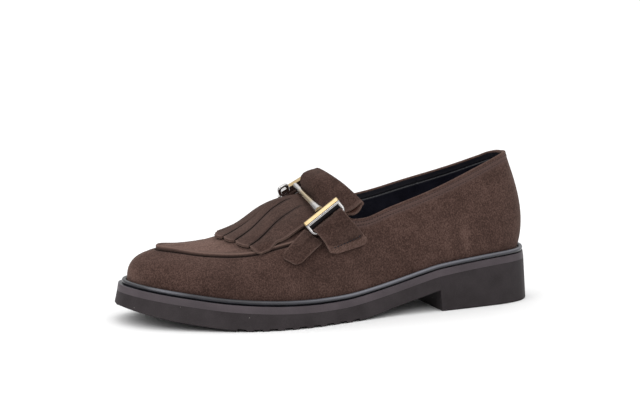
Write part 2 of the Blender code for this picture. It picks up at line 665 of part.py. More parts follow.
def tab(side):
    """Narrow tab that comes out from under the ring and points forwards and down."""
    rear_top, rear_low, front_low, front_top = TAB[side]
    outward = ring_frame(side)[3]

    def place(u, v):
        front = on_side(front_low, front_top, side, v)
        rear = on_side(rear_low, rear_top, side, v)
        return bowed(front, rear, rounded(u, v), outward * TAB_BOW[side])
    return patch(TAB_ROWS, TAB_COLUMNS, place)


flap_verts, flap_faces = flap()
leather("flap", flap_verts, flap_faces, UP, FLAP_THICK)
for side, word in ((LATERAL, "lateral"), (MEDIAL, "medial")):
    outwards = np.array([0.0, side, 0.0])
    leather("strap_" + word, *strap(side), outwards, STRAP_THICK)
    leather("tab_" + word, *tab(side), outwards, STRAP_THICK)
    make("face_bar_" + word, *frame_ring(*ring_frame(side)[:3]), GOLD)
ends = [np.array(FACE_BAR[side][0]) for side in (LATERAL, MEDIAL)]
across_bar = unit(ends[1] - ends[0])
make("crossbar", *turned_bar(ends[0] + across_bar * BAR_END_GAP, ends[1] - across_bar * BAR_END_GAP), SILVER)
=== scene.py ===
"""Looks of the left slip-on loafer: suede, lining, fringe, snaffle bar and cleated sole.

Sizes are in millimetres from the back of the heel (x), the heel's middle (y, positive to the
outer side) and the floor (z), as in the part's own source; pieces are made in metres.
"""
import math

import bmesh
import bpy
import numpy as np
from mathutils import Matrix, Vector
from mathutils.bvhtree import BVHTree


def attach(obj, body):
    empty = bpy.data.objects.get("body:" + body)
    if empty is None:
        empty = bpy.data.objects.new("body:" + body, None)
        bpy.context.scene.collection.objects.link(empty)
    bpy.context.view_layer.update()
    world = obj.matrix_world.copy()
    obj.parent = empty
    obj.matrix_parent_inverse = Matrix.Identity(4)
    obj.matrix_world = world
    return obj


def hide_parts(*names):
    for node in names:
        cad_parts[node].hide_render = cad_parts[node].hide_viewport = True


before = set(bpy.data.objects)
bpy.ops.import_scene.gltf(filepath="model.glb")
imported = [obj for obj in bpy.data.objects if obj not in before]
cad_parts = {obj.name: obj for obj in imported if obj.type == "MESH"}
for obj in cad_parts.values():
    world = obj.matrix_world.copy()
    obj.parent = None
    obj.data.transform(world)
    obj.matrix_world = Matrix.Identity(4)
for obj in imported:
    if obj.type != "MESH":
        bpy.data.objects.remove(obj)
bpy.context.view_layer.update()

MM = 0.001
LATERAL, MEDIAL = 1, -1
HEEL_BACK, TOE_TIP = -0.8, 271.8   # ends of the sole at the floor edge
LENGTH = TOE_TIP - HEEL_BACK
TIP_Y = -9.0            # the toe tip lies towards the inner side
GAP = 0.3               # between pieces that meet
WALL = 1.8              # upper leather with its lining
BAND_HEIGHT = 4.3       # pale strip round the top of the sole
RAND_RADIUS = 1.5       # glossy bead in the corner between strip and upper
BREAST_X = 72.0         # front wall of the heel
BREAST_RUN = 1.6        # how far that wall leans forward
LUG_SHARE = 0.3         # lugs never reach further across than this share of the width
INSOLE_THICK = 2.4
END_KEEP = 0.004        # stations keep this share off the outline's two tips
RAY_START = 150.0       # rays that find the upper start this far out
UP = np.array([0.0, 0.0, 1.0])
NEARLY = 1e-6           # slack where shares are compared
# turns once round the rings' wire, the crossbar, the bead and a stitch
WIRE_TURNS, BAR_TURNS, RAND_TURNS, STITCH_TURNS = (
    np.linspace(0.0, 2 * math.pi, steps, endpoint=False) for steps in (12, 28, 18, 6))

# outline of the sole on the floor: share of the length, outer edge y, inner edge y
PLAN = (
    (0.030, 18.0, -18.0), (0.080, 26.0, -26.0), (0.160, 30.2, -30.2), (0.280, 34.0, -31.0),
    (0.400, 37.5, -31.0), (0.520, 44.5, -33.5), (0.600, 49.5, -37.3), (0.660, 51.0, -40.7),
    (0.720, 49.5, -43.6), (0.780, 45.0, -45.5), (0.850, 36.5, -44.5), (0.910, 27.0, -40.5),
    (0.960, 15.5, -33.0), (0.985, 5.0, -25.0),
)
# sole heights: x, underside in front of the heel, top of the pale strip, inset of the upper's foot
HEIGHTS = (
    (0, 14.0, 31.0, 6.6), (27, 14.0, 30.5, 6.0), (47, 14.0, 29.1, 5.7), (67, 14.0, 27.1, 5.8),
    (74, 13.2, 26.2, 5.8), (86, 10.4, 23.6, 5.9), (104, 6.2, 19.4, 6.0), (122, 1.9, 16.0, 6.2),
    (137, 0.0, 14.0, 6.3), (158, 0.0, 13.4, 6.4), (176, 0.0, 13.8, 6.5), (191, 0.0, 14.5, 6.6),
    (203, 0.0, 15.3, 6.7), (220, 1.7, 16.8, 6.8), (234, 3.7, 18.7, 7.0), (249, 6.2, 20.8, 7.4),
    (262, 9.1, 22.8, 7.8), (272, 11.5, 24.1, 8.0),
)
# ridge of the upper under the flap: x, y, z, fall towards the outer side per mm
RIDGE = (
    (135, -14.0, 75.4, 0.25), (150, -13.5, 68.2, 0.20), (160, -12.0, 66.2, 0.18),
    (167, -11.0, 64.3, 0.16), (175, -10.0, 59.6, 0.12), (182, -9.0, 55.2, 0.09),
    (190, -8.0, 51.8, 0.07), (202, -7.0, 48.4, 0.05), (209, -6.3, 47.0, 0.03),
    (215, -6.0, 46.1, 0.02), (222, -6.0, 45.3, 0.0), (232, -6.0, 44.9, 0.0),
)
# top of each rib of the upper: share round the foot from heel back to toe tip, x, then
# y and z on the outer side, y and z on the inner side
TOPS = (
    (0.000, 16.2, 0.0, 95.3, 0.0, 95.3), (0.030, 16.9, 5.8, 96.0, -5.8, 94.9),
    (0.060, 19.1, 10.6, 96.2, -10.6, 93.9), (0.120, 26.0, 16.4, 94.6, -16.0, 90.6),
    (0.180, 44.0, 20.5, 88.0, -19.8, 84.8), (0.285, 74.0, 23.2, 76.5, -22.2, 77.3),
    (0.390, 104.0, 24.2, 67.0, -23.2, 70.2), (0.455, 123.0, 26.4, 61.4, -24.4, 67.2),
    (0.490, 132.0, 26.6, 62.2, -24.6, 68.8), (0.520, 134.6, 19.0, 66.9, -22.6, 71.9),
    (0.550, 135.0, 4.0, 71.8, -19.0, 74.2), (0.580, 135.0, -14.0, 75.4, -14.0, 75.4),
)
# where the ribs in front of the throat reach the ridge: share, x on the ridge
CROWN = (
    (0.580, 135.0), (0.610, 147.0), (0.650, 165.0), (0.700, 186.0), (0.750, 201.0),
    (0.800, 213.0), (0.860, 222.5), (0.930, 229.0), (1.000, 232.0),
)
THROAT = CROWN[0][0]    # ribs from here to the toe end on the ridge
COLLAR_END = 0.44       # ribs up to here end on the collar
# how each rib bends: share, rise of its first half, lean out, reach of its second half,
# fall of its second half (collar only), height of the seam along it, step of the apron there
RIBS = (
    (0.000, 0.33, 7.8, 1.00, 0.34, 0.62, 0.0), (0.120, 0.34, 5.8, 0.88, 0.32, 0.62, 0.0),
    (0.285, 0.38, 2.6, 0.50, 0.28, 0.62, 0.0), (0.430, 0.52, 2.6, 0.42, 0.18, 0.60, 0.0),
    (0.490, 0.58, 2.7, 0.42, 0.14, 0.57, 0.0), (0.520, 0.60, 2.8, 0.46, 0.10, 0.55, 0.3),
    (0.550, 0.62, 2.9, 0.53, 0.06, 0.52, 0.8), (0.580, 0.64, 2.9, 0.60, 0.04, 0.48, 1.2),
    (0.610, 0.65, 2.9, 0.63, 0.03, 0.475, 1.3),
    (0.700, 0.62, 2.6, 0.63, 0.02, 0.55, 1.3), (0.800, 0.64, 2.4, 0.64, 0.01, 0.65, 1.3),
    (0.900, 0.70, 2.2, 0.70, 0.01, 0.745, 1.3), (1.000, 0.78, 2.0, 0.72, 0.01, 0.755, 1.3),
)
RIB_SHARES = np.concatenate((np.linspace(0.0, 0.455, 17), np.linspace(0.475, 0.58, 8),
                             np.linspace(0.60, 1.0, 18)))

FLAP_THICK = 1.5        # fringed flap
FLAP_CLEAR = 0.7        # its underside off the upper
# fringed flap up to the bar: share from its front, x on the ridge, outer end x and y,
# inner end x and y, extra lift off the upper
FLAP = (
    (0.00, 209.0, 193.0, 29.8, 193.0, -29.0, 0.3), (0.35, 190.0, 178.5, 30.6, 180.0, -28.0, 0.8),
    (0.70, 168.0, 163.0, 25.0, 165.0, -21.0, 1.3), (0.86, 158.5, 154.0, 22.0, 157.0, -16.6, 0.9),
    (1.00, 145.4, 145.8, 20.5, 144.6, -14.8, 0.0),
)
# rear fold of the flap: place across from inner (-1) to outer end (1), x, y, z, swell before it
FOLD = (
    (-1.00, 134.0, -20.0, 82.6, 4.4), (-0.66, 136.8, -18.2, 85.0, 5.6), (-0.33, 138.6, -15.2, 86.4, 6.4),
    (0.00, 138.8, -10.5, 86.8, 6.2), (0.33, 136.9, 4.0, 84.5, 4.5), (0.55, 133.6, 13.0, 81.1, 2.6),
    (0.78, 129.9, 22.5, 76.2, 0.2), (1.00, 126.4, 29.6, 71.2, -2.6),
)
FRONT_SWEEP = 1.5       # how late the flap's front edge turns back towards its ends
FOLD_LONG = 18.0        # from the bar to the rear fold
SWELL_LATE = 1.15       # most of the swell nearer to the fold than to the bar
# edges of the strips across the flap, at its front and at the slits' roots
STRIP_FRONT = (-1.0, -0.70, -0.40, -0.10, 0.20, 0.49, 0.80, 1.0)
STRIP_ROOT = (-1.0, -0.82, -0.66, -0.48, -0.25, 0.05, 0.46, 1.0)
SLIT_ROOT = 0.88        # slits end here, as a share of the flap

STRAP_THICK, STRAP_CLEAR = 1.8, 1.0
# feet of the wide straps seen from their side: x and z at the rear, then at the front
STRAP_FOOT = {
    LATERAL: ((122.4, 47.2), (150.3, 42.2)),
    MEDIAL: ((127.0, 52.0), (151.5, 46.5)),
}
STRAP_BELOW_ROD = 5.0   # the strap starts its turn this far below the rear rod
STRAP_BOW = {LATERAL: 1.2, MEDIAL: 1.4}   # and bows out this much over the upper on its way
LOOP_WIDE, LOOP_RADIUS = 21.4, 2.1
LOOP_TURNS = (0.0, 35.0, 70.0, 105.0)   # degrees round the rod, from outside to behind
# corners of the narrow tabs: x and z at the upper rear, lower rear, lower front, upper front
TAB = {
    LATERAL: ((162.8, 54.6), (154.8, 47.8), (172.6, 36.8), (181.8, 41.7)),
    MEDIAL: ((163.2, 62.6), (159.2, 53.4), (177.1, 42.0), (184.8, 48.0)),
}
TAB_BOW = {LATERAL: 2.0, MEDIAL: 2.0}
CORNER_ROUND, CORNER_FROM = 0.16, 0.6   # rounding of strap and tab ends, as shares

# snaffle: middle of each face bar, its direction, and the direction up the strap
FACE_BAR = {
    LATERAL: ((153.5, 32.2, 67.4), (-0.820, 0.0, 0.572), (0.54, -0.42, 0.74)),
    MEDIAL: ((149.4, -25.0, 76.8), (-0.88, 0.0, 0.47), (0.44, 0.46, 0.77)),
}
FACE_LONG, FACE_DEEP = 26.4, 12.0
FACE_DROP = 1.45        # the bar's middle below the place where the crossbar meets it
BAR_END_GAP = 3.0       # crossbar end to the middle of the slanted face bar
# crossbar: share of its length, radius
CROSSBAR = (
    (0.00, 3.0), (0.10, 2.8), (0.25, 2.45), (0.45, 2.15), (0.65, 2.0), (0.82, 1.9), (0.93, 1.9), (1.00, 1.9),
)
FACE_BAR_WIDE, ROD_WIDE = 6.5, 2.2   # face bar with its dark lower face, rear rod
LUG_REACH = 9.0         # of the lugs in from the sole's edge

# the upper: rows of its mesh, as counts or as distances in mm
FINER = 4                # each gap between two of the plain model's ribs is split into this many
RIB_STEPS = np.linspace(0.0, 1.0, 161)
WALL_ROWS, APRON_ROWS = 22, 14
SEAM_ROWS = np.array((-5.0, -3.6, -2.6, -1.8, -1.2, -0.8, -0.5, -0.25, -0.05, 0.1, 0.25, 0.5, 0.9, 1.4, 2.2,
                      3.4, 5.0))
COLLAR_ROWS = np.array((7.0, 6.0, 5.5, 5.25, 5.0, 4.75, 4.4, 3.75, 3.1, 2.75, 2.5, 2.25, 1.9, 1.3, 0.9))
TOP_ZONE, TOP_SHARE = 9.0, 0.75   # the collar's rows lie within this distance of the top, or this share
COLLAR_ROOM = 0.9        # and draw together to this share of it
SEAM_ROOM = 10.0         # the seam's rows draw together where less than this is left above it
COLLAR_TURN = (0.50, 0.56)   # the collar's edge work fades out between these shares
BACK_SEAM = (0.0022, 0.3)    # share either side of the heel's middle, depth
LINING_SEAM = 0.26       # share of the upright seam in the lining
FINE_SHARES = np.array((0.0012, 0.0025, 0.004, 0.2575, 0.2588, 0.26, 0.2612, 0.2625))
HEEL_PATCH = (0.045, 4.2, 0.5)   # share either side, height, thickness of the heel's top edge
# distances over which the patch, the seams and the creases come to their full height
PATCH_SOFT, BACK_SEAM_FADE, LINING_SEAM_FADE, CREASE_FADE = 0.8, 1.0, 5.0, 8.0
FULL_STEP = 1.3          # step of the apron at which its seam has its full shape
# shape of the apron's seam: distance above it, height over the wall
SEAM_SHAPE = (
    (-7.0, 0.0), (-3.6, 0.22), (-1.8, 0.20), (-0.8, -0.10), (-0.3, -0.50), (-0.05, 0.10), (0.12, 1.35),
    (0.5, 1.95), (1.0, 1.95), (1.8, 1.55), (3.4, 1.20), (7.0, 0.95), (14.0, 1.15), (22.0, 1.30),
)
# shape of the collar's edge: distance below the top, height
COLLAR_SHAPE = (
    (0.0, 0.10), (0.9, 0.22), (1.6, 0.22), (2.2, 0.02), (2.5, -0.20), (2.8, 0.02), (3.75, 0.20),
    (4.6, 0.02), (5.0, -0.20), (5.4, 0.0), (6.4, 0.06), (8.5, 0.0),
)
# lining: distance below the top, height inwards
LINING_SHAPE = ((0.0, 0.0), (3.5, 0.05), (4.4, 0.12), (5.0, -0.22), (5.5, 0.10), (7.5, 0.0))
# paint by distance from the seam or the top
LIP_PAINT = ((-0.1, 0.0), (0.1, 0.55), (0.4, 1.0), (0.9, 0.55), (1.6, 0.15), (2.4, 0.0))
# painted shadow in the trough under the apron's lip, by distance from the seam
TROUGH_SHADE = ((-1.6, 0.0), (-0.7, 0.35), (-0.25, 1.0), (0.0, 0.6), (0.15, 0.0))
BAND_PAINT = ((0.9, 0.0), (1.6, 0.25), (2.2, 0.8), (3.75, 0.55), (5.0, 0.85), (6.0, 0.35), (7.5, 0.0))
LINING_PAINT = ((0.0, 0.2), (3.0, 0.7), (4.6, 0.8), (5.4, 0.5), (7.0, 0.0))
# the collar's roll: turns across it, height as a share of half its thickness, paint
ROLL_TURNS = np.linspace(0.0, math.pi, 8)[1:-1]
ROLL_HIGH, ROLL_PALE = 0.95, 0.12
# soft creases: side, x, z, turn in degrees, length, width, height
CREASES = (
    (LATERAL, 41.0, 44.0, 62.0, 11.0, 3.6, 0.45), (LATERAL, 50.0, 42.0, 66.0, 10.0, 4.0, -0.35),
    (LATERAL, 62.0, 41.0, 70.0, 11.0, 4.2, 0.40), (LATERAL, 84.0, 38.0, 84.0, 12.0, 4.6, 0.35),
    (LATERAL, 73.0, 40.0, 76.0, 12.0, 4.4, -0.30), (LATERAL, 104.0, 42.0, 20.0, 22.0, 9.0, -0.45),
    (LATERAL, 158.0, 30.0, 28.0, 18.0, 7.0, 0.35), (LATERAL, 186.0, 27.0, 12.0, 16.0, 5.0, -0.35),
    (LATERAL, 206.0, 30.0, 20.0, 14.0, 5.0, 0.35), (LATERAL, 20.0, 62.0, 80.0, 16.0, 8.0, -0.40),
    (MEDIAL, 48.0, 43.0, 66.0, 12.0, 4.0, 0.40), (MEDIAL, 70.0, 42.0, 74.0, 12.0, 4.4, -0.35),
    (MEDIAL, 108.0, 44.0, 18.0, 22.0, 9.0, -0.45), (MEDIAL, 172.0, 30.0, 30.0, 16.0, 6.0, 0.35),
    (MEDIAL, 196.0, 28.0, 14.0, 16.0, 5.0, -0.35), (MEDIAL, 212.0, 30.0, 20.0, 14.0, 5.0, 0.35),
)
# paler places, as the creases: the two on the toe's front are a painted highlight where it faces the light,
# the rest paler places on the quarter and vamp
HIGHLIGHT_AND_PALE_SPOTS = (
    (LATERAL, 265.0, 30.5, 80.0, 7.0, 4.5, 0.55), (MEDIAL, 265.0, 30.5, 80.0, 7.0, 4.5, 0.55),
    (LATERAL, 52.7, 42.0, 78.0, 12.0, 2.6, 0.40), (LATERAL, 66.0, 41.0, 80.0, 10.0, 2.4, 0.22),
    (LATERAL, 172.0, 24.0, 4.0, 20.0, 4.0, 0.20), (LATERAL, 40.0, 40.0, 76.0, 8.0, 2.2, 0.20),
)
# painted shade on the sides of the vamp and waist, as the creases
PAINTED_SHADE_SPOTS = (
    (LATERAL, 208.0, 26.0, 8.0, 40.0, 14.0, 0.24), (LATERAL, 158.0, 30.0, 16.0, 26.0, 12.0, 0.10),
    (LATERAL, 122.0, 34.0, 20.0, 18.0, 9.0, 0.08), (MEDIAL, 208.0, 26.0, 8.0, 40.0, 14.0, 0.20),
)
TOE_LIP = (0.5, 0.82, 0.12)   # the seam and the apron stand higher towards the toe: share, start, run
SEAM_END = (127.0, 9.0)   # the apron's seam runs out under the strap: x, run
# painted highlight on the apron's top, which faces the light: how pale, start and run above the seam, start
# and run as shares along the foot
APRON_HIGHLIGHT = (0.56, 1.5, 3.0, 0.68, 0.10)

# the flap's fringe: knots of its smooth underside along and across, rows and columns of its mesh
FLAP_KNOTS = (12, 15)
STRIP_ROWS, STRIP_COLUMNS, BODY_ROWS, FOLD_ROWS, TURN_ROWS = 26, 8, 10, 10, 5
STRIP_ROUND = 0.035      # corners of the strips' ends, as a share of the flap
# for each strip: how far its end is set back, as a share of the flap, and the lift of its end
STRIP_BACK = (0.01, 0.0, 0.012, 0.0, 0.014, 0.004, 0.0)
STRIP_LIFT = (0.1, 0.4, 0.1, 0.4, 0.1, 0.35, 0.1)
STRIP_CURL = 0.35        # the strips' long edges bend down
STRIP_CROWD = 0.9        # rows of the strips lie a little closer towards the slits' roots
STRIP_TILT = 0.3         # each strip's outer edge dips under the next one
SLIT_SHOWN = (0.030, 0.034, 0.030, 0.040, 0.060, 0.040)   # slits at their widest, as shares across
SLIT_SHADE = 0.70         # painted shade on the top edges of the slits; their walls take it in full
EDGE_PALE, EDGE_CUT = 0.42, 0.85   # paint on the upper and lower rims of cut leather
LEATHER_ROUNDING = 0.24  # of the edges of flap, straps and tabs
FOLD_THICK = 1.25        # the flap is pared where it folds
FOLD_TIP = 0.7           # reach of the turn at the rear
# gap between the two layers: share of the way from the bar to the rear, gap
FOLD_GAP = ((0.50, 0.4), (0.62, 2.0), (0.76, 3.2), (0.90, 2.8), (1.00, 1.4))
# knots of the strap's foot; rows and columns of the straps and tabs
STRAP_KNOTS, LOOP_ROWS = 7, 10
STRAP_ROWS, STRAP_COLUMNS = 30, 26
TAB_ROWS, TAB_COLUMNS = 28, 14
STITCH_SHADE = 0.55       # painted shade in the strap's stitched groove
# the strap is paler below its stitches: height over its foot, how pale, softness of the change
PALE_LOW, STRAP_PALE, PALE_SOFT = 6.6, 0.55, 1.2

# snaffle: corners of the face bar's section (up the strap, outwards)
BAR_SECTION = (
    (1.8, -1.5), (1.8, 1.15), (1.45, 1.5), (-0.65, 1.5), (-0.9, 1.15), (-1.2, 1.3), (-2.1, 0.6),
    (-4.7, -0.4), (-4.7, -1.5),
)
BAR_LOOKS = (0, 0, 0, 2, 1, 1, 2, 2, 1)   # gold, dark line, silver bevel, dark lower face, silver back
HOOK_LOOKS = (1, 1, 2, 2, 1, 1, 2, 2, 1)   # the inner bar's front end has no gilding
# the bar's ends: length of their slant, size there; length of the inner bar's plain front end
BAR_BEVEL, BAR_END, HOOK_LONG = 0.5, 0.82, 7.0
BAR_ROUNDING, BAR_SHARP = 0.18, 25.0   # rounding of its edges, and the angle of an edge
BAR_LOWEST = {LATERAL: -4.7, MEDIAL: -3.0}   # lower end of the dark face, narrower on the inner bar
INNER_SHORT = 2.5        # the inner bar stops short of the ring's front end, inside an eye of thick wire
# that eye: place from the ring's front end (along, up the strap, outwards), half its sizes, wire
EYE_AT, EYE_HALF, EYE_WIRE = (5.0, 1.4, -0.6), (3.0, 3.3), 1.2
EYE_ROUTE = ((1, 0), (1, 1), (-1, 1), (-1, -1), (1, -1), (1, 0))
# the ring's wire: radius, drop behind the bar, length of its bends, shortening of its arms
WIRE_RADIUS, WIRE_DROP, WIRE_BEND, WIRE_UP = 1.05, 0.3, 2.6, 1.2
BEND_STEPS = 6
WIRE_ROUTE = ((1, 0, 0), (1, 1, 1), (-1, 1, 1), (-1, 0, 0))
CROSSBAR_STEPS = 60
GILT = (0.14, 0.22, 0.86)    # the bar's gilding: start, softness, end

# the sole: steps of its pieces from heel to toe
SOLE_STATIONS, WELT_STEPS, RAND_STEPS, INSOLE_STEPS = 220, 260, 260, 120
SOLE_ROUND = 0.5         # of its lower edge
SIDE_ROWS = (0.0, 0.10, 0.35, 0.65, 1.0)   # up its side, as shares
# tread cut into the edge: first x, end, pitch, width and depth of the cuts
TREAD = ((132.0, 208.0, 9.4, 5.2, 1.4), (7.0, 62.0, 1.7, 0.85, 0.80))
TREAD_RAMP = 0.12        # length of the slant at a cut's ends
# section of the strip: inset from the outline, distance under its top
WELT_SECTION = ((1.6, 4.4), (2.2, 0.55), (2.35, 0.16), (2.75, 0.0), (9.0, 0.0), (9.0, 4.4))
RIM_INSET = 1.65         # the sole's upper edge, flush with the strip
WELT_LEDGE = 3           # number of that section's side which lies under the bead; it takes the bead's black as painted shade in the crevice
RAND_TOP, RAND_NARROW = 0.75, 4   # turn of the bead's painted highlight line from its outermost point, sharpness
# painted highlight along it, paler where the light catches its upper side: x, how pale
BEAD_HIGHLIGHT_ALONG = (
    (0.0, 0.5), (60.0, 0.8), (145.0, 0.9), (175.0, 0.35), (200.0, 0.05), (235.0, 0.05), (251.0, 0.6),
    (260.0, 0.1), (275.0, 0.0),
)
# lining sock: inset, columns, rise towards its edges, depth and narrowness of its rounded rim
SOCK_INSET, SOCK_COLUMNS, SOCK_DISH, SOCK_ROUND, SOCK_EDGE = 2.0, 21, 0.9, 0.7, 12
UPPER_SHARP, SOLE_SHARP = 70.0, 32.0   # edges sharper than these angles stay crisp

# stitches: length, pitch and radius
COLLAR_STITCH, LINING_STITCH, STRAP_STITCH = (1.25, 2.0, 0.32), (1.5, 2.2, 0.26), (1.4, 2.3, 0.38)
# rows of stitches: distance below the collar's edge, outside and in the lining
COLLAR_SEAMS = (("collar_stitches_upper", 2.5), ("collar_stitches_lower", 5.0))
LINING_STITCH_LOW = 5.0
# one stitch: place along it and size of its rings, how far it stands out and how far its ends dip
STITCH_RINGS = ((-1.0, 0.25), (-0.72, 0.85), (0.0, 1.0), (0.72, 0.85), (1.0, 0.25))
STITCH_SINK, STITCH_DIP = 0.25, 0.6
STITCH_MARGIN = 2        # columns of the strap beside its row of stitches

# colours: dark, middle and light tones; stops are their places along a pattern
NAP_SHEEN = (0.62, 0.50, 0.44)
NAP_STOPS = (0.42, 0.50, 0.585)
NAP_TONES = ((0.030, 0.0165, 0.0135), (0.050, 0.028, 0.0228), (0.080, 0.047, 0.039))
# the nap's tones at three quarters, a darker suede for flap, straps and tabs
FLAP_TONES = ((0.0225, 0.0124, 0.0101), (0.0375, 0.021, 0.0171), (0.060, 0.0353, 0.0292))
BAND_TONE = (0.076, 0.048, 0.043)
# paler places and painted highlights on the suede: dark, middle and light tones
PALE_AND_HIGHLIGHT_TONES = ((0.074, 0.043, 0.035), (0.114, 0.068, 0.055), (0.168, 0.104, 0.087))
CUT_TONE, SHADE_TONE = (0.128, 0.082, 0.068), (0.006, 0.004, 0.004)
FLESH = ((0.024, 0.008, 0.005), (0.045, 0.015, 0.009), (0.070, 0.026, 0.017))
SOLE_STOPS, LEATHER_STOPS, PLAIN_STOPS = (0.35, 0.50, 0.66), (0.3, 0.5, 0.7), (0.35, 0.65)
RUBBER = ((0.017, 0.013, 0.014), (0.0235, 0.019, 0.0205), (0.031, 0.025, 0.027))
SPECK_TONE = (0.30, 0.28, 0.27)
# specks: distance from the middle of a cell, share of the speck's tone
SPECKS = ((0.0, (1.0,) * 3), (0.022, (1.0,) * 3), (0.034, (0.0,) * 3))
STRIP = ((0.043, 0.035, 0.039), (0.052, 0.042, 0.047), (0.063, 0.051, 0.057))
FLOOR_TONE, FLOOR_PALE = (0.70, 0.70, 0.70), (0.71, 0.71, 0.71)
# the bead's dark tones, then the pale bluish grey of its painted highlight
BEAD, BEAD_PALE, BEAD_HIGHLIGHT_TONE = (0.006, 0.006, 0.009), (0.014, 0.014, 0.019), (0.115, 0.118, 0.138)
LINING_TONES = ((0.002, 0.002, 0.005), (0.004, 0.004, 0.009), (0.008, 0.008, 0.015))
LINING_EDGE = (0.008, 0.008, 0.011)
SOCK_TONES = ((0.006, 0.006, 0.008), (0.012, 0.011, 0.014), (0.020, 0.018, 0.022))
GOLD_TONE, GOLD_PALE = (0.27, 0.195, 0.10), (0.32, 0.25, 0.15)
SILVER_TONE, SILVER_PALE = (0.33, 0.32, 0.32), (0.45, 0.44, 0.43)
BLACK_METAL = ((0.010, 0.009, 0.010), (0.020, 0.018, 0.019))
THREAD_TONE, THREAD_PALE = (0.022, 0.013, 0.011), (0.050, 0.032, 0.028)
DARK_THREAD, DARK_THREAD_PALE = (0.006, 0.006, 0.008), (0.018, 0.018, 0.022)

# camera, as worked out from the photograph: turn and height in degrees, distance and place aimed at in mm
VIEW_TURN, VIEW_UP, VIEW_FAR = 21.50, 8.86, 1300.0
VIEW_AT = (141.65, 0.0, 68.3)
PIXELS_PER_MM, IMAGE_WIDE, SENSOR = 1.59774, 640, 36.0

# sky: sine of the height over the horizon, brightness as a share of the strongest
SKY = ((0.0, 0.40), (0.16, 0.22), (0.36, 0.45), (0.60, 0.95), (1.0, 1.0))
SKY_POWER = 1.9
# floor and soft panels (name, place, aim, width, height, power), in metres
FLOOR_WIDE = 8.0
PANELS = (
    ("toe_side", (1.3, 0.5, 0.9), (0.08, 0.0, 0.05), 0.9, 0.9, 5.5),
    ("front", (0.2, 1.5, 1.0), (0.0, 0.0, 0.05), 1.2, 0.5, 5.0),
)


def unit(vectors):
    """A vector, or each row of several, at a length of one."""
    vectors = np.asarray(vectors, float)
    return vectors / np.linalg.norm(vectors, axis=-1, keepdims=True)


def arc_length(path):
    """Distance along a path at each of its points."""
    return np.concatenate(([0.0], np.cumsum(np.linalg.norm(np.diff(path, axis=0), axis=1))))


def along_path(where, length, values):
    """Values in the columns of a table, at a distance along a path."""
    return np.array([np.interp(where, length, column) for column in values.T]).T


def circle(centre, radius, across, over, turns):
    """Points round a centre, from one direction towards the other."""
    return [centre + radius * (math.cos(turn) * across + math.sin(turn) * over) for turn in turns]


def curve(knots, values):
    """Smooth curve through the rows of a table, level past its ends."""
    knot, value = np.asarray(knots, float), np.asarray(values, float)
    run = np.diff(knot)
    wide = run.reshape((-1,) + (1,) * (value.ndim - 1))
    rate = np.diff(value, axis=0) / wide
    slope = np.empty_like(value)
    slope[1:-1] = (rate[:-1] * wide[1:] + rate[1:] * wide[:-1]) / (wide[1:] + wide[:-1])
    slope[0], slope[-1] = rate[0], rate[-1]

    def at(where):
        where = np.clip(np.asarray(where, float), knot[0], knot[-1])
        i = np.clip(np.searchsorted(knot, where) - 1, 0, len(run) - 1)
        t = (where - knot[i]) / run[i]
        keep = value[i] * (1 + 2 * t) * (1 - t) ** 2 + value[i + 1] * t * t * (3 - 2 * t)
        return keep + run[i] * (slope[i] * t * (1 - t) ** 2 - slope[i + 1] * t * t * (1 - t))
    return at


def table(rows):
    """One smooth curve per column over the first column."""
    column = np.asarray(rows, float).T
    return [curve(column[0], values) for values in column[1:]]


underside, strip_top, foot_inset = table(HEIGHTS)
ridge_y, ridge_z, ridge_fall = table(RIDGE)
collar_x, lateral_y, lateral_z, medial_y, medial_z = table(TOPS)
(crown_x,) = table(CROWN)
rise_at, lean_at, reach_at, fall_at, seam_at, step_at = table(RIBS)
flap_ridge, flap_lat_x, flap_lat_y, flap_med_x, flap_med_y, flap_lift = table(FLAP)
fold_x, fold_y, fold_z, fold_swell = table(FOLD)
(bar_radius,) = table(CROSSBAR)
(seam_shape,), (collar_shape,), (lining_shape,) = table(SEAM_SHAPE), table(COLLAR_SHAPE), table(LINING_SHAPE)
(lip_paint,), (trough_shade,), (band_paint,) = table(LIP_PAINT), table(TROUGH_SHADE), table(BAND_PAINT)
(lining_paint,), (fold_gap,), (bead_worn,) = table(LINING_PAINT), table(FOLD_GAP), table(BEAD_HIGHLIGHT_ALONG)


def side_paths(samples=400):
    """Both edges of the floor outline as dense paths from heel back to toe tip."""
    outer = [(HEEL_BACK + LENGTH * share, y) for share, y, _ in PLAN]
    inner = [(HEEL_BACK + LENGTH * share, y) for share, _, y in PLAN]
    ring = [(HEEL_BACK, 0.0)] + outer + [(TOE_TIP, TIP_Y)] + inner[::-1]
    wrapped = np.array(ring[-3:] + ring + ring[:4])
    spacing = np.sqrt(np.linalg.norm(np.diff(wrapped, axis=0), axis=1))
    along = np.concatenate(([0.0], np.cumsum(spacing)))
    path_x, path_y = curve(along, wrapped[:, 0]), curve(along, wrapped[:, 1])
    heel, tip, back = along[3], along[4 + len(outer)], along[3 + len(ring)]
    paths = {}
    for side, ends in ((LATERAL, (heel, tip)), (MEDIAL, (back, tip))):
        at = np.linspace(ends[0], ends[1], samples)
        points = np.column_stack((path_x(at), path_y(at)))
        length = arc_length(points)
        tangent = unit(np.gradient(points, axis=0))
        outward = np.column_stack((-tangent[:, 1], tangent[:, 0])) * side
        paths[side] = (length / length[-1], points, outward)
    return paths


PATHS = side_paths()
CENTRE_Y = (PATHS[LATERAL][1][:, 1].max() + PATHS[MEDIAL][1][:, 1].min()) / 2


def edge(side, share, inset=0.0):
    """Point of the outline, moved inwards."""
    shares, points, _ = PATHS[side]
    return along_path(share, shares, points) - inset * outward_at(side, share)


def outward_at(side, share):
    """Level direction out of the outline."""
    shares, _, outward = PATHS[side]
    return unit(along_path(share, shares, outward))


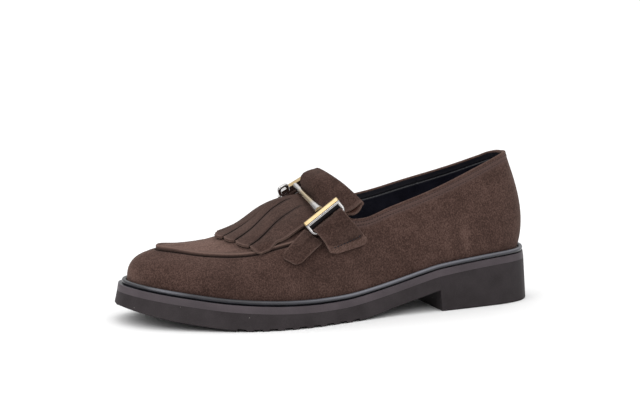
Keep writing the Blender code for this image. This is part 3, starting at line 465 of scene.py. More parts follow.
def share_at(x):
    """Share of the outer edge at a distance from the heel."""
    shares, points, _ = PATHS[LATERAL]
    return float(np.interp(x, points[:, 0], shares))


def foot_point(side, share):
    """Lower edge of the upper."""
    x = edge(side, share)[0]
    at = edge(side, share, float(foot_inset(x)))
    return np.array([at[0], at[1], float(strip_top(at[0])) + GAP])


def top_point(side, share):
    """Upper end of a rib: on the collar, the throat's edge or the ridge."""
    if share >= THROAT:
        x = float(crown_x(share))
        return np.array([x, float(ridge_y(x)), float(ridge_z(x))])
    y, z = (lateral_y, lateral_z) if side == LATERAL else (medial_y, medial_z)
    return np.array([float(collar_x(share)), float(y(share)), float(z(share))])


def rib(side, share):
    """The four control points of one rib of the upper."""
    foot, top = foot_point(side, share), top_point(side, share)
    height = top[2] - foot[2]
    lean = outward_at(side, share) * float(lean_at(share))
    first = foot + np.array([*lean, float(rise_at(share)) * height])
    second = top + float(reach_at(share)) * (foot - top)
    collar = top[2] - float(fall_at(share)) * height
    along_ridge = float(ridge_z(second[0]) - ridge_z(top[0]))
    saddle = top[2] + along_ridge - float(ridge_fall(top[0])) * (second[1] - top[1])
    turn = min(max((share - COLLAR_END) / (THROAT - COLLAR_END), 0.0), 1.0)
    second[2] = collar + (saddle - collar) * turn * turn * (3 - 2 * turn)
    return foot, first, second, top


def along_rib(control, t):
    """Point of a rib between its foot (0) and its top (1)."""
    a, b, c, d = control
    return a * (1 - t) ** 3 + b * 3 * t * (1 - t) ** 2 + c * 3 * t * t * (1 - t) + d * t ** 3


SHIFT = np.array([(HEEL_BACK + TOE_TIP) / 2, CENTRE_Y, 0.0])


def set_stops(node, stops):
    """Puts colours on a ramp: place, colour."""
    marks = node.color_ramp.elements
    while len(marks) < len(stops):
        marks.new(0.5)
    for mark, (at, colour) in zip(marks, stops):
        mark.position = at
        mark.color = (*colour, 1.0)


def shown(name, data):
    """New object in the scene."""
    thing = bpy.data.objects.new(name, data)
    bpy.context.scene.collection.objects.link(thing)
    return thing


class Look:
    """Material made of nodes; values that are the same all over sit on the shader's own sockets."""

    def __init__(self, name, colour, roughness, **sockets):
        self.material = bpy.data.materials.new(name)
        self.material.use_nodes = True
        self.tree = self.material.node_tree
        self.shader = self.tree.nodes["Principled BSDF"]
        self.shader.inputs["Base Color"].default_value = (*colour, 1.0)
        self.shader.inputs["Roughness"].default_value = roughness
        for socket, value in sockets.items():
            self.shader.inputs[socket.replace("_", " ")].default_value = value
        self.place = self.add("ShaderNodeTexCoord").outputs["Object"]

    def add(self, kind, **values):
        node = self.tree.nodes.new(kind)
        for key, value in values.items():
            setattr(node, key, value)
        return node

    def join(self, start, finish):
        self.tree.links.new(start, finish)

    def noise(self, size, detail=4.0, stretch=(1.0, 1.0, 1.0)):
        """Cloudy pattern whose patches are about this many millimetres wide."""
        place = self.place
        if stretch != (1.0, 1.0, 1.0):
            mapping = self.add("ShaderNodeMapping")
            mapping.inputs["Scale"].default_value = stretch
            self.join(place, mapping.inputs["Vector"])
            place = mapping.outputs["Vector"]
        pattern = self.add("ShaderNodeTexNoise")
        pattern.inputs["Scale"].default_value = 1.0 / (size * MM)
        pattern.inputs["Detail"].default_value = detail
        self.join(place, pattern.inputs["Vector"])
        return pattern.outputs["Fac"]

    def grain(self, size):
        """Distance to the nearest cell of a leather grain."""
        pattern = self.add("ShaderNodeTexVoronoi")
        pattern.inputs["Scale"].default_value = 1.0 / (size * MM)
        self.join(self.place, pattern.inputs["Vector"])
        return pattern.outputs["Distance"]

    def painted(self, name):
        """Value that the mesh carries at its vertices."""
        return self.add("ShaderNodeAttribute", attribute_name=name).outputs["Fac"]

    def sum(self, *parts):
        """Weighted sum of patterns."""
        total = None
        for source, weight in parts:
            scaled = self.add("ShaderNodeMath", operation="MULTIPLY")
            self.join(source, scaled.inputs[0])
            scaled.inputs[1].default_value = weight
            if total is not None:
                joined = self.add("ShaderNodeMath", operation="ADD")
                self.join(total, joined.inputs[0])
                self.join(scaled.outputs[0], joined.inputs[1])
                scaled = joined
            total = scaled.outputs[0]
        return total

    def ramp(self, source, stops):
        """Colours along a pattern: place, colour."""
        node = self.add("ShaderNodeValToRGB")
        set_stops(node, stops)
        self.join(source, node.inputs["Fac"])
        return node.outputs["Color"]

    def mix(self, share, under, over):
        """A colour or a pattern laid over another by a share."""
        node = self.add("ShaderNodeMix", data_type="RGBA")
        self.join(share, node.inputs["Factor"])
        self.join(under, node.inputs["A"])
        if isinstance(over, tuple):
            node.inputs["B"].default_value = (*over, 1.0)
        else:
            self.join(over, node.inputs["B"])
        return node.outputs["Result"]

    def colour(self, source):
        self.join(source, self.shader.inputs["Base Color"])

    def rough(self, source, low, high):
        node = self.add("ShaderNodeMapRange")
        node.inputs["To Min"].default_value = low
        node.inputs["To Max"].default_value = high
        self.join(source, node.inputs["Value"])
        self.join(node.outputs["Result"], self.shader.inputs["Roughness"])

    def bump(self, source, depth, strength=1.0):
        """Relief of a pattern, in millimetres."""
        node = self.add("ShaderNodeBump")
        node.inputs["Strength"].default_value = strength
        node.inputs["Distance"].default_value = depth * MM
        self.join(source, node.inputs["Height"])
        self.join(node.outputs["Normal"], self.shader.inputs["Normal"])


def suede(name, dark, middle, light):
    """Nap: cloudy patches, mottling and fine fibres; cut edges and a stitched band are paler, and the mesh's
    paint lays on paler places, painted highlights and painted shade.
    """
    look = Look(name, middle, 0.95, Specular_IOR_Level=0.05, Sheen_Weight=0.10, Sheen_Roughness=0.55)
    look.shader.inputs["Sheen Tint"].default_value = (*NAP_SHEEN, 1.0)
    clouds = look.noise(20.0, 3.0)
    brushed = look.noise(5.0, 3.0, (0.5, 1.0, 1.0))
    mottle = look.noise(1.2, 5.0)
    fibre = look.noise(0.55, 3.0, (1.0, 1.0, 0.6))
    nap = look.sum((clouds, 0.15), (brushed, 0.11), (mottle, 0.26), (fibre, 0.48))
    tone = look.ramp(nap, tuple(zip(NAP_STOPS, (dark, middle, light))))
    worn = look.ramp(nap, tuple(zip(NAP_STOPS, PALE_AND_HIGHLIGHT_TONES)))
    # the band and cut edges are the leather's own; the paler paint carries paler places and painted
    # highlights, the shade paint carries painted shade
    for paint, over in (("band", BAND_TONE), ("worn", worn), ("cut", CUT_TONE), ("shade", SHADE_TONE)):
        tone = look.mix(look.painted(paint), tone, over)
    look.colour(tone)
    look.bump(look.sum((fibre, 0.6), (mottle, 0.4)), 0.35, 0.7)
    return look.material


def rubber():
    """Matte moulded sole with a fine grain, faint rubbing and a few pale specks."""
    look = Look("sole_rubber", RUBBER[1], 0.62, Specular_IOR_Level=0.16)
    grain = look.noise(0.5, 3.0)
    rubbed = look.noise(14.0, 4.0)
    tone = look.ramp(look.sum((grain, 0.4), (rubbed, 0.6)), tuple(zip(SOLE_STOPS, RUBBER)))
    specks = look.ramp(look.grain(6.5), SPECKS)
    look.colour(look.mix(specks, tone, SPECK_TONE))
    look.rough(rubbed, 0.55, 0.72)
    look.bump(grain, 0.08, 0.5)
    return look.material


def strip_rubber():
    """Paler satin strip round the sole."""
    look = Look("sole_strip", STRIP[1], 0.5, Specular_IOR_Level=0.2)
    grain = look.noise(0.7, 3.0)
    rubbed = look.noise(20.0, 3.0)
    look.colour(look.ramp(look.sum((grain, 0.3), (rubbed, 0.7)), tuple(zip(SOLE_STOPS, STRIP))))
    look.rough(rubbed, 0.42, 0.6)
    look.bump(grain, 0.05, 0.4)
    return look.material


def gloss_bead():
    """Glossy black with a painted highlight along its upper side, in pale bluish grey."""
    look = Look("gloss_bead", BEAD, 0.3, Specular_IOR_Level=0.38, Coat_Weight=0.10, Coat_Roughness=0.2)
    cloud = look.noise(9.0, 3.0)
    tone = look.ramp(cloud, ((0.3, BEAD), (0.7, BEAD_PALE)))
    look.colour(look.mix(look.painted("worn"), tone, BEAD_HIGHLIGHT_TONE))
    look.rough(cloud, 0.26, 0.4)
    return look.material


def smooth_leather(name, tones, gloss):
    """Smooth lining leather with a fine pebble grain; its sewn edge has a tone of its own."""
    look = Look(name, tones[1], gloss, Specular_IOR_Level=0.45)
    cloud = look.noise(12.0, 4.0)
    cells = look.grain(0.9)
    tone = look.ramp(cloud, tuple(zip(LEATHER_STOPS, tones)))
    look.colour(look.mix(look.painted("band"), tone, LINING_EDGE))
    look.rough(cloud, gloss - 0.06, gloss + 0.1)
    look.bump(look.sum((cells, 1.0), (cloud, 1.2)), 0.10, 0.6)
    return look.material


def metal(name, tone, pale, roughness):
    """Polished plating with faint polishing lines along the shoe and a paler worn tone."""
    look = Look(name, tone, roughness, Metallic=1.0)
    lines = look.noise(0.9, 3.0, (0.15, 1.0, 1.0))
    cloud = look.noise(5.0, 2.0)
    look.colour(look.ramp(look.sum((lines, 0.5), (cloud, 0.5)), tuple(zip(PLAIN_STOPS, (tone, pale)))))
    look.rough(lines, roughness * 0.7, roughness * 1.4)
    return look.material


def thread(name, tone, pale):
    """Dull twisted thread."""
    look = Look(name, tone, 0.8, Specular_IOR_Level=0.2)
    twist = look.noise(0.35, 2.0)
    look.colour(look.ramp(twist, tuple(zip(PLAIN_STOPS, (tone, pale)))))
    look.bump(twist, 0.06, 0.6)
    return look.material


def gilded(name):
    """Polished bar that turns from silver at its ends to gold, by the paint of its mesh."""
    look = Look(name, SILVER_TONE, 0.17, Metallic=1.0)
    cloud = look.noise(4.0, 2.0)
    tone = look.ramp(cloud, tuple(zip(PLAIN_STOPS, (SILVER_TONE, SILVER_PALE))))
    look.colour(look.mix(look.painted("gilt"), tone, GOLD_PALE))
    look.rough(cloud, 0.12, 0.24)
    return look.material


def sheet_normals(verts, faces):
    """Vertex normals of an open sheet of quads, by area."""
    p = verts[faces]
    lean = np.cross(p[:, 2] - p[:, 0], p[:, 3] - p[:, 1])
    total = np.zeros_like(verts)
    for k in range(4):
        np.add.at(total, faces[:, k], lean)
    return unit(total)


def border(faces):
    """Directed edges of a sheet that belong to one face only."""
    pairs = [(a, b) for face in faces.tolist() for a, b in zip(face, face[1:] + face[:1])]
    known = set(pairs)
    return [(a, b) for a, b in pairs if (b, a) not in known]


def piece(name, slot, verts, faces, looks, nodes=(), part=None, bevel=0.0, sharp=40.0, **paint):
    """Piece in metres that rides on the shoe; part picks each face's look, paint is kept at the vertices."""
    mesh = bpy.data.meshes.new(name)
    mesh.from_pydata(((np.asarray(verts, float) - SHIFT) * MM).tolist(), [], [tuple(f) for f in faces])
    for look in looks:
        mesh.materials.append(look)
    if part is not None:
        mesh.polygons.foreach_set("material_index", part)
    for key, values in paint.items():
        mesh.attributes.new(key, "FLOAT", "POINT").data.foreach_set("value", np.asarray(values, float))
    form = bmesh.new()
    form.from_mesh(mesh)
    bmesh.ops.recalc_face_normals(form, faces=form.faces[:])
    form.to_mesh(mesh)
    form.free()
    mesh.polygons.foreach_set("use_smooth", [True] * len(mesh.polygons))
    mesh.set_sharp_from_angle(angle=math.radians(sharp))
    thing = shown(name, mesh)
    if bevel:
        rounding = thing.modifiers.new("rounding", "BEVEL")
        rounding.width = bevel * MM
        rounding.segments = 2
        rounding.limit_method = "ANGLE"
        rounding.angle_limit = math.radians(sharp)
    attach(thing, "root")
    if nodes:
        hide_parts(*nodes)


def grid_faces(rows, columns, closed=False):
    """Quads of a grid of vertices, row by row; closed joins the last column to the first."""
    r, c = np.meshgrid(np.arange(rows - 1), np.arange(columns if closed else columns - 1), indexing="ij")
    nxt = (c + 1) % columns
    quads = (r * columns + c, r * columns + nxt, (r + 1) * columns + nxt, (r + 1) * columns + c)
    return np.stack(quads, axis=-1).reshape(-1, 4)


def tube(sections, closed=False):
    """Skin over rings of equal length; open rows of rings get an end face each."""
    count, size = len(sections), len(sections[0])
    verts = np.array(sections, float).reshape(-1, 3)
    faces = grid_faces(count, size, closed=True).tolist()
    if closed:
        for k in range(size):
            m = (k + 1) % size
            faces.append([(count - 1) * size + k, (count - 1) * size + m, m, k])
    else:
        faces += [list(range(size)), [(count - 1) * size + k for k in range(size)]]
    return verts, faces


def leather(name, verts, faces, outwards, thick, node, cut=None, **paint):
    """Leather piece from an open sheet: thickened outwards, with pale cut edges unless they are given."""
    normals = sheet_normals(verts, faces)
    if np.dot(normals.mean(axis=0), outwards) < 0:
        normals = -normals
    count = len(verts)
    rim = border(faces)
    solid = np.vstack((verts + normals * np.broadcast_to(thick, count)[:, None], verts))
    skin = faces.tolist() + (faces[:, ::-1] + count).tolist() + [(b, a, a + count, b + count) for a, b in rim]
    part = [0] * len(faces) + [1] * len(faces) + [0] * len(rim)
    if cut is None:
        cut = np.zeros(2 * count)
        edges = np.array(rim).ravel()
        cut[edges], cut[edges + count] = EDGE_PALE, EDGE_CUT
    piece(name, "suede", solid, skin, TRIM_LOOKS, (node,), part, LEATHER_ROUNDING, cut=cut, **paint)
    return normals


def stitches(name, path, normals, look, long, pitch, radius):
    """Row of separate stitches along a path, each a small thread end sunk into the leather."""
    along = arc_length(path)
    verts, faces = [], []
    for middle in np.arange(pitch / 2, along[-1] - long / 2, pitch):
        first, centre, end = (along_path(middle + k * long / 2, along, path) for k in (-1, 0, 1))
        up = unit(along_path(middle, along, normals))
        run = unit(end - first)
        side = unit(np.cross(run, up))
        sections = []
        for share, size in STITCH_RINGS:
            sunk = radius * (STITCH_SINK - STITCH_DIP * share * share)
            at = centre + run * share * long / 2 + up * sunk
            sections.append(circle(at, radius * size, side, up, STITCH_TURNS))
        points, skin = tube(sections)
        faces += [[len(verts) + k for k in face] for face in skin]
        verts += points.tolist()
    piece(name, "suede", verts, faces, [look])


def drape(point, towards, lift):
    """Puts a point down on the upper's outer face along a direction, then off it by a lift."""
    start = Vector(point) - Vector(towards) * RAY_START
    hit, normal, _, _ = SKIN.ray_cast(start, Vector(towards))
    if hit is None:
        hit, normal, _, _ = SKIN.find_nearest(Vector(point))
    if normal.dot(Vector(towards)) > 0:
        normal = -normal
    return np.array(hit) + np.array(normal) * lift


def flap_point(along, across):
    """Underside of the flap on the upper, from its front (0) to the bar (1)."""
    end_x, end_y = (flap_lat_x, flap_lat_y) if across >= 0 else (flap_med_x, flap_med_y)
    ridge = float(flap_ridge(along))
    share = abs(across)
    x = ridge + (float(end_x(along)) - ridge) * share ** FRONT_SWEEP
    y = float(ridge_y(ridge)) + (float(end_y(along)) - float(ridge_y(ridge))) * share
    return drape((x, y, 0.0), -UP, FLAP_CLEAR + float(flap_lift(along)))


def strip_edge(number, along):
    """Place across of a strip's edge, which runs obliquely from the front to the slit's root."""
    share = along / SLIT_ROOT
    return STRIP_FRONT[number] * (1 - share) + STRIP_ROOT[number] * share


def rounded(u, v):
    """Pulls the corners of a unit square in along its first edge."""
    corner = max(0.0, abs(2 * v - 1) - CORNER_FROM) / (1 - CORNER_FROM)
    return u + CORNER_ROUND * corner ** 2 * (1 - u)


def on_side(start, finish, side, share):
    """Point just off the side of the upper between two points given as x and z."""
    x, z = np.array(start) * (1 - share) + np.array(finish) * share
    return drape((x, 0.0, z), np.array([0.0, -side, 0.0]), STRAP_CLEAR)


def bowed(start, finish, share, bow):
    """Point on a line that bows out in its middle."""
    return start + (finish - start) * share + bow * 4 * share * (1 - share)


def ring_frame(side):
    """Middle of the ring, its two directions, its outward normal and the middle of its rod."""
    middle, along, up_strap = FACE_BAR[side]
    along, up_strap = unit(along), unit(up_strap)
    up_strap = unit(up_strap - along * np.dot(along, up_strap))
    centre = np.array(middle) - up_strap * (FACE_DROP + (FACE_DEEP - FACE_BAR_WIDE) / 2)
    outward = np.cross(along, up_strap)
    outward *= side * np.sign(outward[1])
    rod = centre - up_strap * (FACE_DEEP - ROD_WIDE) / 2
    return centre, along, up_strap, outward, rod


def rib_rows(side, share):
    """Points up one rib, closest together at the apron's seam and the collar.

    Gives the points, their distance above the seam and their distance below the top."""
    path = along_rib(rib(side, share), RIB_STEPS[:, None])
    length = arc_length(path)
    seam = float(np.interp(seam_at(share), RIB_STEPS, length))
    top = length[-1]
    wall = np.linspace(0.0, seam + SEAM_ROWS[0], WALL_ROWS, endpoint=False)
    near = seam + np.where(SEAM_ROWS > 0, SEAM_ROWS * min(1.0, (top - seam) / SEAM_ROOM), SEAM_ROWS)
    apron = np.linspace(near[-1], top - min(TOP_ZONE, (top - near[-1]) * TOP_SHARE), APRON_ROWS + 1)[1:]
    even = np.linspace(apron[-1], top, len(COLLAR_ROWS) + 1)[1:]
    held = collar_share(share)
    drawn = min(1.0, COLLAR_ROOM * (top - apron[-1]) / COLLAR_ROWS[0])
    upmost = even + held * (top - COLLAR_ROWS * drawn - even)
    rows = np.concatenate((wall, near, apron, upmost))
    return along_path(rows, length, path), rows - seam, top - rows


def smooth(value):
    """Soft rise from 0 to 1, level outside."""
    value = np.clip(value, 0.0, 1.0)
    return value * value * (3 - 2 * value)


def collar_share(share):
    """1 on the collar, falling to 0 round the throat."""
    return float(smooth((COLLAR_TURN[1] - share) / (COLLAR_TURN[1] - COLLAR_TURN[0])))


def soft_spots(rows, points, side):
    """Sum of soft long spots on one side of the upper: troughs and ridges, painted highlights and paler
    places, or painted shade.
    """
    lift = np.zeros(len(points))
    for where, x, z, turn, long, wide, high in rows:
        if where != side:
            continue
        dx, dz = points[:, 0] - x, points[:, 2] - z
        across, along = math.cos(math.radians(turn)), math.sin(math.radians(turn))
        run = (dx * across + dz * along) / long
        off = (dz * across - dx * along) / wide
        lift += high * np.exp(-run * run - off * off)
    return lift


def seam_step(share, points):
    """Strength of the apron's seam along a rib."""
    return float(step_at(share)) / FULL_STEP * smooth((points[:, 0] - SEAM_END[0]) / SEAM_END[1])


def relief(side, share, points, above_seam, below_top):
    """Height of the outer face over the plain wall, in millimetres."""
    step = seam_step(share, points)
    raised, start, run = TOE_LIP
    high = step * (1 + raised * float(smooth((share - start) / run))) * seam_shape(above_seam)
    held = collar_share(share)
    high += held * collar_shape(below_top)
    heel = math.exp(-(share / HEEL_PATCH[0]) ** 4)
    high += heel * HEEL_PATCH[2] * smooth((HEEL_PATCH[1] - below_top) / PATCH_SOFT)
    back = math.exp(-(share / BACK_SEAM[0]) ** 2)
    high -= back * BACK_SEAM[1] * smooth((below_top - HEEL_PATCH[1]) / BACK_SEAM_FADE)
    return high + soft_spots(CREASES, points, side) * smooth(below_top / CREASE_FADE)


def lining_relief(share, below_top):
    """Height of the lining over its plain face: the sewn edge under the collar and an upright seam."""
    seam = math.exp(-((share - LINING_SEAM) / BACK_SEAM[0]) ** 2)
    sunk = seam * BACK_SEAM[1] * float(smooth(below_top / LINING_SEAM_FADE))
    return collar_share(share) * float(lining_shape(below_top)) - sunk


def upper_shares():
    """Places of the ribs round the foot, finer than the plain model's."""
    fine = np.interp(np.arange(0, len(RIB_SHARES) - 1 + NEARLY, 1.0 / FINER),
                     np.arange(len(RIB_SHARES)), RIB_SHARES)
    return np.unique(np.concatenate((fine, FINE_SHARES)))


def upper():
    """Suede outside and lining inside in one closed wall, with a rolled collar and a raised apron seam."""
    shares = upper_shares()
    base, lift, sink, cut, band, trim, shade, worn, index = [], [], [], [], [], [], [], [], {}
    pale, above, rise, ahead, run = APRON_HIGHLIGHT
    last = WALL_ROWS + len(SEAM_ROWS) + APRON_ROWS + len(COLLAR_ROWS) - 1
    for i, share in enumerate(shares):
        for side in (LATERAL, MEDIAL):
            points, above_seam, below_top = rib_rows(side, share)
            high = relief(side, share, points, above_seam, below_top)
            step = seam_step(share, points)
            held = collar_share(share)
            # painted highlight on the apron's top, where it faces the light
            rubbed = pale * smooth((above_seam - above) / rise) * float(smooth((share - ahead) / run))
            # painted highlight on the toe's front, and paler places on the quarter and vamp
            rubbed = np.clip(rubbed + soft_spots(HIGHLIGHT_AND_PALE_SPOTS, points, side), 0.0, 1.0)
            # painted shade spots on the vamp and waist
            dim = soft_spots(PAINTED_SHADE_SPOTS, points, side)
            for j in range(last + 1):
                single = i in (0, len(shares) - 1) or (j == last and share >= THROAT)
                if side == MEDIAL and single:
                    index[(side, i, j)] = index[(LATERAL, i, j)]
                    continue
                index[(side, i, j)] = len(base)
                base.append(points[j])
                lift.append(high[j])
                sink.append(WALL + lining_relief(share, below_top[j]))
                trim.append(held * float(lining_paint(below_top[j])))
                cut.append(step[j] * float(lip_paint(above_seam[j])))
                band.append(held * float(band_paint(below_top[j])))
                # painted shadow under the apron's lip, plus the painted shade spots
                shade.append(min(1.0, step[j] * float(trough_shade(above_seam[j])) + dim[j]))
                worn.append(rubbed[j])
    faces = []
    for i in range(len(shares) - 1):
        for j in range(last):
            for side in (LATERAL, MEDIAL):
                ring = [index[(side, i, j)], index[(side, i + 1, j)],
                        index[(side, i + 1, j + 1)], index[(side, i, j + 1)]]
                faces.append(ring if side == LATERAL else ring[::-1])
    base, faces = np.array(base), np.array(faces)
    normals = sheet_normals(base, faces)
    if normals[0][0] > 0:
        normals = -normals
    outer = base + normals * np.array(lift)[:, None]
    inner = base - normals * np.array(sink)[:, None]
    throat = int(np.searchsorted(shares, THROAT - NEARLY))
    rim = [index[(LATERAL, i, last)] for i in range(throat + 1)]
    rim += [index[(MEDIAL, i, last)] for i in range(throat - 1, 0, -1)]
    foot = [index[(LATERAL, i, 0)] for i in range(len(shares))]
    foot += [index[(MEDIAL, i, 0)] for i in range(len(shares) - 2, 0, -1)]
    verts, roll = rolled(outer, inner, normals, rim)
    count = len(base)
    skin = faces.tolist() + (faces[:, ::-1] + count).tolist() + roll
    for a, b in zip(foot, foot[1:] + foot[:1]):
        skin.append([a, b, b + count, a + count])
    part = [0] * len(faces) + [1] * len(faces) + [0] * len(roll) + [1] * len(foot)
    extra = len(verts) - 2 * count
    piece("upper_shell", "suede", verts, skin, [SUEDE, LINING], ("upper",), part, sharp=UPPER_SHARP,
          cut=np.concatenate((cut, np.zeros(count), np.full(extra, ROLL_PALE))),
          band=np.concatenate((band, trim, np.zeros(extra))),
          shade=np.concatenate((shade, np.zeros(count + extra))),
          worn=np.concatenate((worn, np.zeros(count + extra))))
    return shares, index, outer, inner, normals, faces


def rolled(outer, inner, normals, rim):
    """Adds the half-round roll of the collar between the outer and the inner face."""
    count = len(outer)
    run = np.roll(outer[rim], -1, axis=0) - np.roll(outer[rim], 1, axis=0)
    up = unit(np.cross(run, normals[rim]))
    if up[0][2] < 0:
        up = -up
    middle, half = (outer[rim] + inner[rim]) / 2, (outer[rim] - inner[rim]) / 2
    radius = np.linalg.norm(half, axis=1)[:, None]
    rows = [np.array(rim)]
    verts = [outer, inner]
    for k, turn in enumerate(ROLL_TURNS):
        verts.append(middle + half * math.cos(turn) + up * radius * ROLL_HIGH * math.sin(turn))
        rows.append(2 * count + k * len(rim) + np.arange(len(rim)))
    rows.append(np.array(rim) + count)
    faces = []
    for low, high in zip(rows, rows[1:]):
        for k in range(len(rim)):
            m = (k + 1) % len(rim)
            faces.append([int(low[k]), int(low[m]), int(high[m]), int(high[k])])
    return np.vstack(verts), faces


def collar_line(grid, below, inside=False):
    """Path and normals a distance below the collar, from one end of it round the heel to the other."""
    shares, index, outer, inner, normals, _ = grid
    row = WALL_ROWS + len(SEAM_ROWS) + APRON_ROWS + int(np.argmin(abs(COLLAR_ROWS - below)))
    stop = int(np.searchsorted(shares, COLLAR_TURN[0]))
    loop = [index[(LATERAL, i, row)] for i in range(stop, 0, -1)]
    loop += [index[(MEDIAL, i, row)] for i in range(stop)]
    return (inner[loop], -normals[loop]) if inside else (outer[loop], normals[loop])


def flap_sheet():
    """The flap's underside as one smooth function of its place along and across."""
    along = np.linspace(0.0, 1.0, FLAP_KNOTS[0])
    across = np.linspace(-1.0, 1.0, FLAP_KNOTS[1])
    laid = np.array([[flap_point(a, c) for c in across] for a in along])
    columns = [[curve(along, laid[:, c, k]) for k in range(3)] for c in range(len(across))]

    def at(a, c):
        row = np.array([[float(f(a)) for f in column] for column in columns])
        return np.array([float(curve(across, row[:, k])(c)) for k in range(3)])
    return at


def flap():
    """Fringe of separate strips at the front, smooth under the bar, folded back on itself at the rear."""
    at = flap_sheet()
    verts, faces, index = [], [], {}

    def vertex(key, point):
        if key not in index:
            index[key] = len(verts)
            verts.append(np.asarray(point, float))
        return index[key]

    def strip_key(strip, row, column):
        if row == STRIP_ROWS - 1:
            return ("root", strip * STRIP_COLUMNS + column)
        return ("strip", strip, row, column)

    count = len(STRIP_FRONT) - 1
    slits = (0.0, *SLIT_SHOWN, 0.0)
    cut, dark, thick = {}, {}, {}
    for k in range(count):
        for r in range(STRIP_ROWS):
            for c in range(STRIP_COLUMNS + 1):
                v = c / STRIP_COLUMNS
                corner = abs(2 * v - 1)
                front = STRIP_ROUND * corner ** 3 + STRIP_BACK[k]
                share = (r / (STRIP_ROWS - 1)) ** STRIP_CROWD
                along = front + (SLIT_ROOT - front) * share
                free = 1.0 - along / SLIT_ROOT
                inner = strip_edge(k, along) + slits[k] * math.sqrt(max(free, 0.0)) / 2
                outer = strip_edge(k + 1, along) - slits[k + 1] * math.sqrt(max(free, 0.0)) / 2
                point = at(along, inner + (outer - inner) * v)
                lift = STRIP_LIFT[k] * free - STRIP_CURL * free * corner ** 2 + STRIP_TILT * free * (0.5 - v)
                spot = vertex(strip_key(k, r, c), point + UP * lift)
                slit_edge = (c == 0 and k > 0) or (c == STRIP_COLUMNS and k < count - 1)
                cut[spot] = 1.0 if r == 0 or (corner == 1.0 and not slit_edge) else 0.0
                # the slits' edges get painted shade
                dark[spot] = 1.0 if slit_edge and r > 0 else 0.0
        for r in range(STRIP_ROWS - 1):
            for c in range(STRIP_COLUMNS):
                near = ((r, c), (r, c + 1), (r + 1, c + 1), (r + 1, c))
                faces.append([index[strip_key(k, rr, cc)] for rr, cc in near])
    columns = [left + (right - left) * c / STRIP_COLUMNS for left, right in zip(STRIP_ROOT, STRIP_ROOT[1:])
               for c in range(STRIP_COLUMNS)] + [STRIP_ROOT[-1]]
    rows = [[at(a, c) for c in columns] for a in np.linspace(SLIT_ROOT, 1.0, BODY_ROWS)[1:]]
    rows += [[fold_point(at, back, c, 0.0) for c in columns] for back in np.linspace(0.0, 1.0, FOLD_ROWS)[1:]]
    for turn in np.linspace(0.0, math.pi, TURN_ROWS + 2)[1:-1]:
        over = FOLD_TIP * math.sin(turn) / FOLD_LONG
        gap = FOLD_GAP[-1][1] * (1 - math.cos(turn)) / 2
        rows.append([fold_point(at, 1.0 + over, c, gap) for c in columns])
    for back in np.linspace(1.0, FOLD_GAP[0][0], FOLD_ROWS):
        rows.append([fold_point(at, back, c, float(fold_gap(back))) for c in columns])
    before = [index[("root", c)] for c in range(len(columns))]
    for r, row in enumerate(rows):
        now = [vertex(("body", r, c), point) for c, point in enumerate(row)]
        cut.update({now[0]: 1.0, now[-1]: 1.0})
        pared = float(smooth((r + 2 - BODY_ROWS) / FOLD_ROWS))
        thick.update({i: FLAP_THICK + (FOLD_THICK - FLAP_THICK) * pared for i in now})
        for c in range(len(columns) - 1):
            faces.append([before[c], before[c + 1], now[c + 1], now[c]])
        before = now
    cut, dark = (np.array([paint.get(i, 0.0) for i in range(len(verts))]) for paint in (cut, dark))
    thick = np.array([thick.get(i, FLAP_THICK) for i in range(len(verts))])
    cut, dark = np.concatenate((cut * EDGE_PALE, cut * EDGE_CUT)), np.concatenate((dark * SLIT_SHADE, dark))
    return np.array(verts), np.array(faces), thick, cut, dark


def fold_point(at, back, across, gap):
    """Behind the bar: the flap swells, turns over at the rear and comes back underneath."""
    bar = at(1.0, across)
    rear = np.array([float(fold_x(across)), float(fold_y(across)), float(fold_z(across))])
    path = rear - bar
    off = unit(np.cross(path, (0.0, 1.0, 0.0)))
    off *= np.sign(off[2])
    swell = float(fold_swell(across)) * math.sin(math.pi * min(back, 1.0) ** SWELL_LATE)
    return bar + back * path + off * (swell - gap)


def patch(rows, columns, place):
    """Grid sheet over two shares, each vertex placed by a function."""
    verts = [place(r / (rows - 1), c / (columns - 1)) for r in range(rows) for c in range(columns)]
    return np.array(verts), grid_faces(rows, columns)


def strap(side):
    """Wide strap from its stitched foot on the side up and round the ring's rear rod."""
    _, along, up_strap, outward, rod = ring_frame(side)
    rear, front = STRAP_FOOT[side]
    turns = np.linspace(LOOP_TURNS[0], LOOP_TURNS[-1], LOOP_ROWS)
    feet = curve(np.linspace(0.0, 1.0, STRAP_KNOTS),
                 np.array([on_side(rear, front, side, v) for v in np.linspace(0.0, 1.0, STRAP_KNOTS)]))

    def place(u, v):
        row = round(u * (STRAP_ROWS + LOOP_ROWS - 1))
        across = rod + along * LOOP_WIDE * (0.5 - v)
        if row >= STRAP_ROWS:
            turn = math.radians(turns[row - STRAP_ROWS])
            return circle(across, LOOP_RADIUS, outward, up_strap, (turn,))[0]
        top = across + LOOP_RADIUS * outward - up_strap * STRAP_BELOW_ROD
        share = rounded(row / (STRAP_ROWS - 1), v)
        return bowed(feet(v), top, share, outward * STRAP_BOW[side])
    return patch(STRAP_ROWS + LOOP_ROWS, STRAP_COLUMNS, place)


def tab(side):
    """Narrow tab that comes out from under the ring and points forwards and down."""
    rear_top, rear_low, front_low, front_top = TAB[side]
    outward = ring_frame(side)[3]

    def place(u, v):
        front = on_side(front_low, front_top, side, v)
        rear = on_side(rear_low, rear_top, side, v)
        return bowed(front, rear, rounded(u, v), outward * TAB_BOW[side])
    return patch(TAB_ROWS, TAB_COLUMNS, place)


